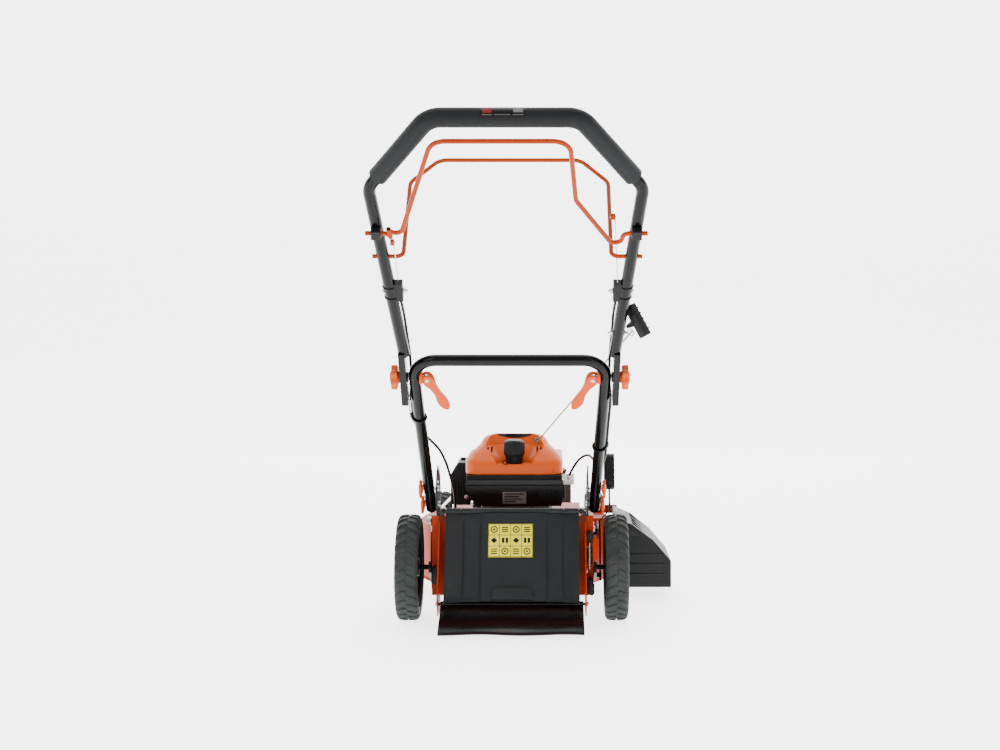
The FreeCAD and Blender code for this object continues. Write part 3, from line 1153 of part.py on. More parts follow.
def build():
    """Makes every sub-part."""
    make_upper_handle()
    make_foam_grip()
    make_lower_handle()
    make_drive_bail()
    make_brake_bail()
    make_tube_clamps()
    make_rope_guide()
    make_knobs()
    make_handle_bolts()
    for word, side in SIDES.items():
        make_cam_lever(word, side)
        make_bracket(word, side)
    make_deck_shell()
    make_chute()
    make_hinge_rods()
    make_rear_flap()
    make_trailing_shield()
    make_side_deflector()
    make_wheels()
    make_axles()
    make_height_link()
    make_axle_bushes()
    make_height_quadrant()
    make_height_lever()
    make_crankcase()
    make_cylinder()
    make_muffler()
    make_air_filter_box()
    make_carburettor()
    make_fuel_tank()
    make_fuel_cap()
    make_recoil_cover()
    make_rotating_parts()
    make_gearbox()
    make_drive_belt()
    make_starter()
    make_cables()
    make_brake_bracket()


def faults():
    """What is wrong with any object or finished shape."""
    found = [f"{item.Label}: {item.State}" for item in document.Objects
             if "Invalid" in item.State or "Error" in item.State]
    for label, item in nodes.items():
        if item.Shape.isNull() or not item.Shape.isValid() or not item.Shape.Solids:
            found.append(f"{label}: shape is null, invalid or has no solid")
    return found


def export():
    """Writes one STEP file for each sub-part."""
    os.makedirs("parts", exist_ok=True)
    for label, item in nodes.items():
        item.Shape.exportStep(f"parts/{label}.step")


build()
document.recompute()
problems = faults()
if problems:
    raise SystemExit("\n".join(problems))
export()
print(len(nodes), "sub-parts written; footprint centre at", FOOTPRINT)
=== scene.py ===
"""Self-propelled petrol mower: the visual model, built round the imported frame."""
from __future__ import annotations

import json
import logging
import math
from dataclasses import dataclass, field
from enum import Enum
from typing import Iterable, Sequence

import bmesh
import bpy
from mathutils import Matrix, Vector

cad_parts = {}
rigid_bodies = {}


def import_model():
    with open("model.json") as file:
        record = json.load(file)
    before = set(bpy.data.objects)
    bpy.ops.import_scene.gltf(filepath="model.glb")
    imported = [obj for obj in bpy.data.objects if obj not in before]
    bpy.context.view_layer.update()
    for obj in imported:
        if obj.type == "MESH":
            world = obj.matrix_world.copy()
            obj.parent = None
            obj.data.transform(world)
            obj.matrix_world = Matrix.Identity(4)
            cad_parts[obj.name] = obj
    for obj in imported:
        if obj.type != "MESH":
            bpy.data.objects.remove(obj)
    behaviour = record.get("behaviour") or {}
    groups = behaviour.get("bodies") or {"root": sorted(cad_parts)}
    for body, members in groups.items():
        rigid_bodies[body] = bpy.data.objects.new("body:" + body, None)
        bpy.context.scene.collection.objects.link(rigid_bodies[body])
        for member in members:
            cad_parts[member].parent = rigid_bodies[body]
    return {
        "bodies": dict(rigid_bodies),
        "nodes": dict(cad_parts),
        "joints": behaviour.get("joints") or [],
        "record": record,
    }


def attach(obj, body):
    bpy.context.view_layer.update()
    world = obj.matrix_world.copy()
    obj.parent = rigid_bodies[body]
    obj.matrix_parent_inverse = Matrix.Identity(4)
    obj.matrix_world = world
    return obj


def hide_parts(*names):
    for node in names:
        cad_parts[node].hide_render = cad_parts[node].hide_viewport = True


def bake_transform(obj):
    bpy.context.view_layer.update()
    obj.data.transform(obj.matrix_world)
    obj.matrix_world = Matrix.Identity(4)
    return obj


LOG = logging.getLogger("mower")
FOOTPRINT = Vector((59.0, -29.10235, 0.0))
INCLINE = math.radians(49)
SIDES = {"left": -1, "right": 1}
CREASE = math.radians(38)

Point = Sequence[float]
Flat = tuple[float, float]


def frame_at(origin: Point, turn_x: float = 0.0) -> Matrix:
    """A frame in mower millimetres, turned about X, carried to the row frame in metres.

    Args:
        origin: the frame's origin, in mower millimetres.
        turn_x: its turn about X, in radians.

    Returns:
        The matrix from local millimetres to row metres.
    """
    place = Matrix.Translation(Vector(origin) - FOOTPRINT) @ Matrix.Rotation(turn_x, 4, "X")
    return Matrix.Diagonal((0.001, 0.001, 0.001, 1.0)) @ place


MOWER = frame_at((0, 0, 0))
HANDLE = frame_at((0, -720, 1090), -INCLINE)
FLAP = frame_at((0, -22, 252), math.atan2(-190, -104))
SHIELD = frame_at((0, -72, 50), math.atan2(-41, -124))


# Finishes

@dataclass(frozen=True)
class Finish:
    """One procedural finish, on object coordinates.

    Args:
        colour: linear base colour.
        rough: roughness, varied a little over the surface.
        metal: metallic share.
        coat: clear coat share.
        shine: strength of the plain reflection.
        glow: light that the surface gives off.
        tint: how far the colour wanders over the surface.
        tint_scale: size of that wandering, in features per metre.
        grain: height of the fine bump.
        grain_scale: its size, in features per metre.
        dust: share of pale dust that settles on upward faces.
        brushed: stretches the grain along one axis.
    """

    colour: tuple[float, float, float]
    rough: float
    metal: float = 0.0
    coat: float = 0.0
    shine: float = 0.5
    glow: float = 0.0
    tint: float = 0.10
    tint_scale: float = 14.0
    grain: float = 0.0
    grain_scale: float = 900.0
    dust: float = 0.0
    brushed: bool = False

    def make(self, name: str) -> bpy.types.Material:
        """Builds the material's nodes.

        Args:
            name: the material's name.

        Returns:
            The material.
        """
        material = bpy.data.materials.new(name)
        material.use_nodes = True
        tree = material.node_tree
        tree.nodes.clear()
        add = tree.nodes.new
        link = tree.links.new
        out = add("ShaderNodeOutputMaterial")
        shader = add("ShaderNodeBsdfPrincipled")
        link(shader.outputs["BSDF"], out.inputs["Surface"])
        shader.inputs["Metallic"].default_value = self.metal
        shader.inputs["Coat Weight"].default_value = self.coat
        shader.inputs["Coat Roughness"].default_value = 0.12
        shader.inputs["Specular IOR Level"].default_value = self.shine
        shader.inputs["Emission Color"].default_value = (1, 1, 1, 1)
        shader.inputs["Emission Strength"].default_value = self.glow
        coords = add("ShaderNodeTexCoord")
        broad = add("ShaderNodeTexNoise")
        broad.inputs["Scale"].default_value = self.tint_scale
        broad.inputs["Detail"].default_value = 5.0
        link(coords.outputs["Object"], broad.inputs["Vector"])
        ramp = add("ShaderNodeValToRGB")
        dark = [c * (1 - self.tint) for c in self.colour]
        light = [min(1.0, c * (1 + self.tint)) for c in self.colour]
        ramp.color_ramp.elements[0].position = 0.32
        ramp.color_ramp.elements[0].color = (*dark, 1)
        ramp.color_ramp.elements[1].position = 0.68
        ramp.color_ramp.elements[1].color = (*light, 1)
        link(broad.outputs["Fac"], ramp.inputs["Fac"])
        colour = ramp.outputs["Color"]
        if self.dust:
            colour = self._dust(tree, coords, colour)
        link(colour, shader.inputs["Base Color"])
        spread = add("ShaderNodeMapRange")
        spread.inputs["To Min"].default_value = max(0.03, self.rough - 0.07)
        spread.inputs["To Max"].default_value = min(1.0, self.rough + 0.07)
        link(broad.outputs["Fac"], spread.inputs["Value"])
        link(spread.outputs["Result"], shader.inputs["Roughness"])
        if self.grain:
            self._grain(tree, coords, shader)
        return material

    def _dust(self, tree: bpy.types.NodeTree, coords: bpy.types.Node,
              colour: bpy.types.NodeSocket) -> bpy.types.NodeSocket:
        """Settles pale dust on faces that look up, in patches.

        Args:
            tree: the material's nodes.
            coords: the texture coordinate node.
            colour: the colour below the dust.

        Returns:
            The socket of the dusted colour.
        """
        add = tree.nodes.new
        link = tree.links.new
        shape = add("ShaderNodeNewGeometry")
        split = add("ShaderNodeSeparateXYZ")
        link(shape.outputs["Normal"], split.inputs["Vector"])
        upward = add("ShaderNodeMapRange")
        upward.inputs["From Min"].default_value = -0.35
        upward.inputs["To Max"].default_value = self.dust
        link(split.outputs["Z"], upward.inputs["Value"])
        patches = add("ShaderNodeTexNoise")
        patches.inputs["Scale"].default_value = self.tint_scale * 3
        patches.inputs["Detail"].default_value = 8.0
        link(coords.outputs["Object"], patches.inputs["Vector"])
        share = add("ShaderNodeMath")
        share.operation = "MULTIPLY"
        link(upward.outputs["Result"], share.inputs[0])
        link(patches.outputs["Fac"], share.inputs[1])
        mix = add("ShaderNodeMix")
        mix.data_type = "RGBA"
        link(share.outputs["Value"], mix.inputs["Factor"])
        link(colour, mix.inputs[6])
        mix.inputs[7].default_value = (0.30, 0.27, 0.23, 1)
        return mix.outputs[2]

    def _grain(self, tree: bpy.types.NodeTree, coords: bpy.types.Node, shader: bpy.types.Node) -> None:
        """Adds the fine bump.

        Args:
            tree: the material's nodes.
            coords: the texture coordinate node.
            shader: the surface shader.
        """
        add = tree.nodes.new
        link = tree.links.new
        fine = add("ShaderNodeTexNoise")
        fine.inputs["Scale"].default_value = self.grain_scale
        fine.inputs["Detail"].default_value = 3.0
        source = coords.outputs["Object"]
        if self.brushed:
            stretch = add("ShaderNodeMapping")
            stretch.inputs["Scale"].default_value = (0.06, 1.0, 1.0)
            link(source, stretch.inputs["Vector"])
            source = stretch.outputs["Vector"]
        link(source, fine.inputs["Vector"])
        bump = add("ShaderNodeBump")
        bump.inputs["Strength"].default_value = self.grain
        bump.inputs["Distance"].default_value = 0.0006
        link(fine.outputs["Fac"], bump.inputs["Height"])
        link(bump.outputs["Normal"], shader.inputs["Normal"])


class Look(Enum):
    """Every finish on the machine."""

    ORANGE_SHELL = Finish((0.56, 0.072, 0.001), 0.34, coat=0.03, shine=0.14, tint=0.05, grain=0.05, grain_scale=500)
    ORANGE_KNOB = Finish((0.44, 0.050, 0.005), 0.40, shine=0.12, tint=0.06, grain=0.10, grain_scale=700)
    ORANGE_LEVER = Finish((0.46, 0.055, 0.006), 0.44, shine=0.10, tint=0.06, grain=0.10, grain_scale=700)
    ORANGE_PAINT = Finish((0.26, 0.020, 0.002), 0.42, shine=0.06, tint=0.12, grain=0.06, grain_scale=260)
    ORANGE_ROD = Finish((0.24, 0.024, 0.001), 0.30, shine=0.08, tint=0.08, grain=0.05, grain_scale=300)
    BLACK_TUBE = Finish((0.0010, 0.0014, 0.0014), 0.16, shine=0.14, tint=0.12, grain=0.05, grain_scale=220)
    BLACK_PAINT = Finish((0.004, 0.0045, 0.0045), 0.34, shine=0.16, tint=0.15, grain=0.10, grain_scale=420)
    BLACK_GLOSS = Finish((0.0040, 0.0036, 0.0038), 0.24, shine=0.18, tint=0.12, grain=0.08, grain_scale=600)
    GREY_PLASTIC = Finish((0.0075, 0.0095, 0.0095), 0.50, shine=0.16, tint=0.10, grain=0.22, grain_scale=1500)
    BLACK_PLASTIC = Finish((0.0045, 0.005, 0.0055), 0.44, shine=0.14, tint=0.14, grain=0.18, grain_scale=1300)
    FOAM = Finish((0.0050, 0.0060, 0.0065), 0.60, shine=0.14, tint=0.12, grain=0.35, grain_scale=2400)
    RUBBER = Finish((0.0035, 0.004, 0.0045), 0.25, shine=0.25, tint=0.20, grain=0.15, grain_scale=600)
    TYRE = Finish((0.017, 0.021, 0.0195), 0.72, shine=0.16, tint=0.22, tint_scale=30, grain=0.30, grain_scale=1600,
                  dust=0.05)
    RIM = Finish((0.006, 0.0065, 0.007), 0.45, shine=0.16, tint=0.14, grain=0.14, grain_scale=1200)
    ZINC = Finish((0.45, 0.46, 0.45), 0.30, metal=0.95, tint=0.12, tint_scale=60, grain=0.10, grain_scale=800)
    CAST = Finish((0.20, 0.205, 0.21), 0.55, metal=0.85, tint=0.14, tint_scale=40, grain=0.45, grain_scale=700)
    BRUSHED = Finish((0.36, 0.37, 0.38), 0.36, metal=0.95, tint=0.12, tint_scale=30, grain=0.25, grain_scale=900,
                     brushed=True)
    BURNT = Finish((0.10, 0.09, 0.08), 0.55, metal=0.7, tint=0.3, tint_scale=26, grain=0.3, grain_scale=500)
    COPPER = Finish((0.50, 0.15, 0.06), 0.34, metal=0.9, tint=0.14, tint_scale=60, grain=0.1)
    SHEATH = Finish((0.003, 0.003, 0.0032), 0.38, shine=0.2, tint=0.14, grain=0.12, grain_scale=1600)
    CORD = Finish((0.20, 0.165, 0.10), 0.80, shine=0.1, tint=0.22, tint_scale=700, grain=0.6, grain_scale=2600)
    YELLOW = Finish((0.60, 0.50, 0.020), 0.40, shine=0.2, tint=0.04, grain=0.05, grain_scale=500)
    INK = Finish((0.004, 0.004, 0.004), 0.40, shine=0.14, tint=0.10, grain=0.05, grain_scale=500)
    PALE = Finish((0.12, 0.11, 0.105), 0.45, shine=0.2, tint=0.10, grain=0.05, grain_scale=500)
    RED_INK = Finish((0.12, 0.010, 0.008), 0.42, shine=0.14, tint=0.10, grain=0.05, grain_scale=500)
    FLOOR = Finish((0.95, 0.95, 0.95), 0.85, shine=0.0, glow=3.0, tint=0.005, tint_scale=2)


class Paint:
    """Makes each finish's material once."""

    def __init__(self) -> None:
        """Starts with no material made."""
        self._made: dict[Look, bpy.types.Material] = {}

    def of(self, look: Look) -> bpy.types.Material:
        """The material of a finish.

        Args:
            look: the finish.

        Returns:
            Its material.
        """
        if look not in self._made:
            self._made[look] = look.value.make(look.name.lower())
        return self._made[look]


PAINT = Paint()


# Geometry

def rounded(points: Sequence[Point], radii: Sequence[float], steps: int = 8) -> list[Vector]:
    """A path through points whose corners are rounded by arcs.

    Args:
        points: corners of the path.
        radii: one radius for each inner corner.
        steps: segments in each arc.

    Returns:
        The points of the rounded path.
    """
    points = [Vector(point) for point in points]
    path = [points[0]]
    for before, corner, after, radius in zip(points, points[1:], points[2:], radii):
        back = (before - corner).normalized()
        ahead = (after - corner).normalized()
        half = back.angle(ahead) / 2
        if radius <= 0 or half > math.pi / 2 - 0.01:
            path.append(corner)
            continue
        reach = radius / math.tan(half)
        centre = corner + (back + ahead).normalized() * (radius / math.sin(half))
        first = corner + back * reach - centre
        last = corner + ahead * reach - centre
        sweep = first.angle(last)
        for step in range(steps + 1):
            share = step / steps
            turned = (first * math.sin((1 - share) * sweep) + last * math.sin(share * sweep)) / math.sin(sweep)
            path.append(centre + turned)
    path.append(points[-1])
    return path


def fair(points: Sequence[Point]) -> list[Vector]:
    """A path whose corners take arcs as large as its runs allow, as the cables do.

    Args:
        points: corners of the path.

    Returns:
        The points of the rounded path.
    """
    points = [Vector(point) for point in points]
    radii = []
    for before, corner, after in zip(points, points[1:], points[2:]):
        turn = (corner - before).angle(after - corner)
        shorter = min((corner - before).length, (after - corner).length)
        radii.append(0.45 * shorter / math.tan(turn / 2))
    return rounded(points, radii, 6)


class Form:
    """Geometry gathered for one piece, in the millimetres of a local frame.

    Args:
        frame: the matrix from local millimetres to row metres.
    """

    def __init__(self, frame: Matrix = MOWER) -> None:
        """Starts an empty mesh in a frame."""
        self.frame = frame
        self.mesh = bmesh.new()

    def _take(self, part: bmesh.types.BMesh, bevel: float = 0.0, segments: int = 2, sharp: float = 25) -> Form:
        """Bevels a part's sharp edges and adds it to the piece.

        Args:
            part: the part, which is freed.
            bevel: width of the bevel.
            segments: segments across the bevel.
            sharp: angle in degrees above which an edge is sharp.

        Returns:
            This form.
        """
        bmesh.ops.recalc_face_normals(part, faces=part.faces)
        if bevel > 0:
            limit = math.radians(sharp)
            edges = [e for e in part.edges if len(e.link_faces) == 2 and e.calc_face_angle(0) > limit]
            bmesh.ops.bevel(part, geom=edges, offset=bevel, offset_type="OFFSET", segments=segments, profile=0.5,
                            affect="EDGES", clamp_overlap=True, material=-1)
        scratch = bpy.data.meshes.new("scratch")
        part.to_mesh(scratch)
        part.free()
        self.mesh.from_mesh(scratch)
        bpy.data.meshes.remove(scratch)
        return self

    def box(self, low: Point, high: Point, bevel: float = 0.0, turn: Matrix | None = None) -> Form:
        """Adds a box between two corners, turned about its middle if a turn is given.

        Args:
            low: its lowest corner.
            high: its highest corner.
            bevel: width of its bevels.
            turn: its turn about its middle.

        Returns:
            This form.
        """
        part = bmesh.new()
        low, high = Vector(low), Vector(high)
        bmesh.ops.create_cube(part, size=1.0)
        size = Matrix.Diagonal((*(high - low), 1.0))
        place = Matrix.Translation((low + high) / 2)
        bmesh.ops.transform(part, matrix=place @ (turn or Matrix()) @ size, verts=part.verts)
        return self._take(part, bevel)

    def prism(self, outline: Sequence[Point], low: float, high: float, axis: str = "z", bevel: float = 0.0,
              segments: int = 2) -> Form:
        """Adds a straight-sided block of an outline, between two levels along an axis.

        Args:
            outline: the outline's points.
            low: the lower level.
            high: the upper level.
            axis: x, y or z.
            bevel: width of its bevels.
            segments: segments across a bevel.

        Returns:
            This form.
        """
        spots = {"x": lambda a, b, c: (c, a, b), "y": lambda a, b, c: (a, c, b), "z": lambda a, b, c: (a, b, c)}
        place = spots[axis]
        part = bmesh.new()
        ends = [[part.verts.new(place(a, b, level)) for a, b in outline] for level in (low, high)]
        part.faces.new(ends[0])
        part.faces.new(ends[1])
        count = len(outline)
        for i in range(count):
            j = (i + 1) % count
            part.faces.new((ends[0][i], ends[0][j], ends[1][j], ends[1][i]))
        return self._take(part, bevel, segments)

    def rod(self, start: Point, end: Point, radius: float, far: float | None = None, sides: int = 20,
            bevel: float = 0.0) -> Form:
        """Adds a round bar or cone from one point to another.

        Args:
            start: middle of its first end.
            end: middle of its far end.
            radius: radius of its first end.
            far: radius of its far end, if that differs.
            sides: how many sides it has.
            bevel: width of its bevels.

        Returns:
            This form.
        """
        start, end = Vector(start), Vector(end)
        part = bmesh.new()
        length = (end - start).length
        bmesh.ops.create_cone(part, cap_ends=True, segments=sides, radius1=radius,
                              radius2=radius if far is None else far, depth=length)
        turn = (end - start).to_track_quat("Z", "Y").to_matrix().to_4x4()
        bmesh.ops.transform(part, matrix=Matrix.Translation((start + end) / 2) @ turn, verts=part.verts)
        return self._take(part, bevel)

    def sweep(self, path: Sequence[Vector], radius: float | Sequence[float], sides: int = 12,
              closed: bool = False, flat: float = 1.0) -> Form:
        """Adds a tube along a path, each ring carried on from the one before.

        Args:
            path: the path's points.
            radius: the tube's radius, or one for each point.
            sides: how many sides it has.
            closed: whether the path is a loop.
            flat: how far it is flattened across.

        Returns:
            This form.
        """
        part = bmesh.new()
        path = [Vector(point) for point in path]
        count = len(path)
        radii = list(radius) if isinstance(radius, (list, tuple)) else [radius] * count
        ahead = (path[1] - path[0]).normalized()
        side = ahead.orthogonal().normalized()
        rings = []
        for i, point in enumerate(path):
            before = path[i - 1] if i or closed else path[i]
            after = path[(i + 1) % count] if i < count - 1 or closed else path[i]
            heading = (after - before).normalized()
            side = ahead.rotation_difference(heading) @ side
            ahead = heading
            other = heading.cross(side).normalized()
            ring = []
            for k in range(sides):
                turn = 2 * math.pi * k / sides
                around = side * math.cos(turn) + other * math.sin(turn) * flat
                ring.append(part.verts.new(point + around * radii[i]))
            rings.append(ring)
        for i in range(count if closed else count - 1):
            one, two = rings[i], rings[(i + 1) % count]
            for k in range(sides):
                m = (k + 1) % sides
                part.faces.new((one[k], one[m], two[m], two[k]))
        if not closed:
            part.faces.new(rings[0])
            part.faces.new(rings[-1])
        return self._take(part)

    def lathe(self, origin: Point, axis: Point, profile: Sequence[tuple[float, float]], steps: int = 48,
              bevel: float = 0.0) -> Form:
        """Adds a turned piece: a profile spun a full circle.

        Args:
            origin: where the profile starts.
            axis: direction of the axis.
            profile: pairs of distance along the axis and radius.
            steps: segments round the circle.
            bevel: width of its bevels.

        Returns:
            This form.
        """
        part = bmesh.new()
        verts = [part.verts.new((radius, 0, along)) for along, radius in profile]
        edges = [part.edges.new(pair) for pair in zip(verts, verts[1:])]
        if profile[0][1] > 0.01 and profile[-1][1] > 0.01:
            edges.append(part.edges.new((verts[-1], verts[0])))
        bmesh.ops.spin(part, geom=verts + edges, cent=(0, 0, 0), axis=(0, 0, 1), dvec=(0, 0, 0),
                       angle=2 * math.pi, steps=steps, use_merge=True, use_duplicate=False)
        bmesh.ops.remove_doubles(part, verts=part.verts, dist=0.01)
        turn = Vector(axis).to_track_quat("Z", "Y").to_matrix().to_4x4()
        bmesh.ops.transform(part, matrix=Matrix.Translation(origin) @ turn, verts=part.verts)
        return self._take(part, bevel)

    def ball(self, centre: Point, radius: float, squash: float = 1.0) -> Form:
        """Adds a ball.

        Args:
            centre: its centre.
            radius: its radius.
            squash: its height as a share of its width.

        Returns:
            This form.
        """
        part = bmesh.new()
        bmesh.ops.create_uvsphere(part, u_segments=20, v_segments=12, radius=radius)
        place = Matrix.Translation(centre) @ Matrix.Diagonal((1, 1, squash, 1))
        bmesh.ops.transform(part, matrix=place, verts=part.verts)
        return self._take(part)

    def loft(self, rings: Sequence[Sequence[Point]], bevel: float = 0.0, segments: int = 2) -> Form:
        """Adds a closed skin through rings of equally many points.

        Args:
            rings: the rings.
            bevel: width of its bevels.
            segments: segments across a bevel.

        Returns:
            This form.
        """
        part = bmesh.new()
        made = [[part.verts.new(point) for point in ring] for ring in rings]
        count = len(rings[0])
        for one, two in zip(made, made[1:]):
            for k in range(count):
                m = (k + 1) % count
                part.faces.new((one[k], one[m], two[m], two[k]))
        part.faces.new(made[0])
        part.faces.new(made[-1])
        return self._take(part, bevel, segments, 12)

    def sheet(self, rows: Sequence[Sequence[Point]], thick: float) -> Form:
        """Adds a thin skin over a grid of points, thickened along its normals.

        Args:
            rows: rows of the grid.
            thick: its thickness.

        Returns:
            This form.
        """
        part = bmesh.new()
        grid = [[part.verts.new(point) for point in row] for row in rows]
        for one, two in zip(grid, grid[1:]):
            for k in range(len(one) - 1):
                part.faces.new((one[k], one[k + 1], two[k + 1], two[k]))
        bmesh.ops.recalc_face_normals(part, faces=part.faces)
        bmesh.ops.solidify(part, geom=list(part.faces), thickness=thick)
        return self._take(part)

    def hexagon(self, start: Point, end: Point, across: float) -> Form:
        """Adds a hexagonal bolt head or nut.

        Args:
            start: middle of its first end.
            end: middle of its far end.
            across: its width across flats.

        Returns:
            This form.
        """
        return self.rod(start, end, across / math.sqrt(3), sides=6, bevel=across * 0.04)

    def carve(self, tool: Form) -> Form:
        """Cuts another form out of this one.

        Args:
            tool: the form that is cut out, which is freed.

        Returns:
            This form.
        """
        whole, cutter = (self._scratch(form, word) for form, word in ((self, "whole"), (tool, "cutter")))
        change = whole.modifiers.new("cut", "BOOLEAN")
        change.object = cutter
        change.operation = "DIFFERENCE"
        change.solver = "EXACT"
        bpy.context.view_layer.update()
        graph = bpy.context.evaluated_depsgraph_get()
        result = bpy.data.meshes.new_from_object(whole.evaluated_get(graph))
        self.mesh.free()
        self.mesh = bmesh.new()
        self.mesh.from_mesh(result)
        for item in (whole, cutter):
            data = item.data
            bpy.data.objects.remove(item)
            bpy.data.meshes.remove(data)
        bpy.data.meshes.remove(result)
        tool.mesh.free()
        return self

    @staticmethod
    def _scratch(form: Form, name: str) -> bpy.types.Object:
        """A passing object of a form's mesh.

        Args:
            form: the form.
            name: the object's name.

        Returns:
            The object.
        """
        data = bpy.data.meshes.new(name)
        form.mesh.to_mesh(data)
        item = bpy.data.objects.new(name, data)
        bpy.context.scene.collection.objects.link(item)
        return item

    def done(self, name: str, look: Look, body: str | None, slot: str | None = None,
             replaces: Iterable[str] = ()) -> bpy.types.Object:
        """Turns the gathered geometry into a finished piece at the origin.

        Args:
            name: the piece's name.
            look: its finish.
            body: the CAD body it rides on, or None, which leaves it on no body.
            slot: the record's material slot; not used.
            replaces: CAD nodes that it stands for.

        Returns:
            The object.
        """
        bmesh.ops.transform(self.mesh, matrix=self.frame, verts=self.mesh.verts)
        bmesh.ops.recalc_face_normals(self.mesh, faces=self.mesh.faces)
        for face in self.mesh.faces:
            face.smooth = True
        for edge in self.mesh.edges:
            edge.smooth = len(edge.link_faces) != 2 or edge.calc_face_angle(0) < CREASE
        data = bpy.data.meshes.new(name)
        self.mesh.to_mesh(data)
        self.mesh.free()
        data.materials.append(PAINT.of(look))
        item = bpy.data.objects.new(name, data)
        bpy.context.scene.collection.objects.link(item)
        if body:
            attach(item, body)
        if replaces:
            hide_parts(*replaces)
        return item


def rounded_outline(corners: Sequence[Flat], radius: float, steps: int = 5) -> list[Flat]:
    """A closed outline with every corner rounded.

    Args:
        corners: corners of the outline.
        radius: radius of each corner.
        steps: segments in each arc.

    Returns:
        The points of the rounded outline.
    """
    points = [Vector((a, b, 0)) for a, b in corners]
    made = []
    for k, corner in enumerate(points):
        path = rounded([points[k - 1], corner, points[(k + 1) % len(points)]], [radius], steps)
        made += [(p.x, p.y) for p in path[1:-1]]
    return made


# Sub-assemblies

@dataclass
class Assembly:
    """Shared by every sub-assembly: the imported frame, and the pieces made so far."""

    frame: dict
    made: list[bpy.types.Object] = field(default_factory=list)

    def dress(self, look: Look, *nodes: str, bevel: float = 0.0) -> None:
        """Gives CAD nodes a finish and softened edges.

        Args:
            look: the finish.
            nodes: the CAD nodes.
            bevel: width of the softened edges, in millimetres.
        """
        for name in nodes:
            item = self.frame["nodes"][name]
            item.data.materials.clear()
            item.data.materials.append(PAINT.of(look))
            if bevel:
                weld = item.modifiers.new("weld", "WELD")
                weld.merge_threshold = 0.00002
                soft = item.modifiers.new("soft", "BEVEL")
                soft.width = bevel / 1000
                soft.segments = 2
                soft.limit_method = "ANGLE"
                soft.angle_limit = math.radians(40)
                soft.harden_normals = True

    def keep(self, item: bpy.types.Object) -> bpy.types.Object:
        """Remembers a piece and logs it."""
        LOG.info("%s: %s", type(self).__name__, item.name)
        self.made.append(item)
        return item


def tube_x(down: float) -> float:
    """How far from the mid-plane the upper handle's side tube is, at a distance down the handle."""
    return 264 + (down - 165) / 447 * (221 - 264)


def leg_x(down: float) -> float:
    """How far from the mid-plane the lower handle's leg is."""
    return 205 + (down - 630) / 478 * (187 - 205)


def star(centre: Flat, radius: float, lobes: int = 7, depth: float = 0.13) -> list[Flat]:
    """Outline of a star knob with round lobes.

    Args:
        centre: its centre.
        radius: its largest radius.
        lobes: how many lobes it has.
        depth: depth of the dips, as a share of the radius.

    Returns:
        The points of the outline.
    """
    made = []
    count = lobes * 12
    for k in range(count):
        turn = 2 * math.pi * k / count
        dip = abs(math.sin(lobes * turn / 2)) ** 2.4
        reach = radius * (1 - depth * dip)
        made.append((centre[0] + reach * math.cos(turn), centre[1] + reach * math.sin(turn)))
    return made


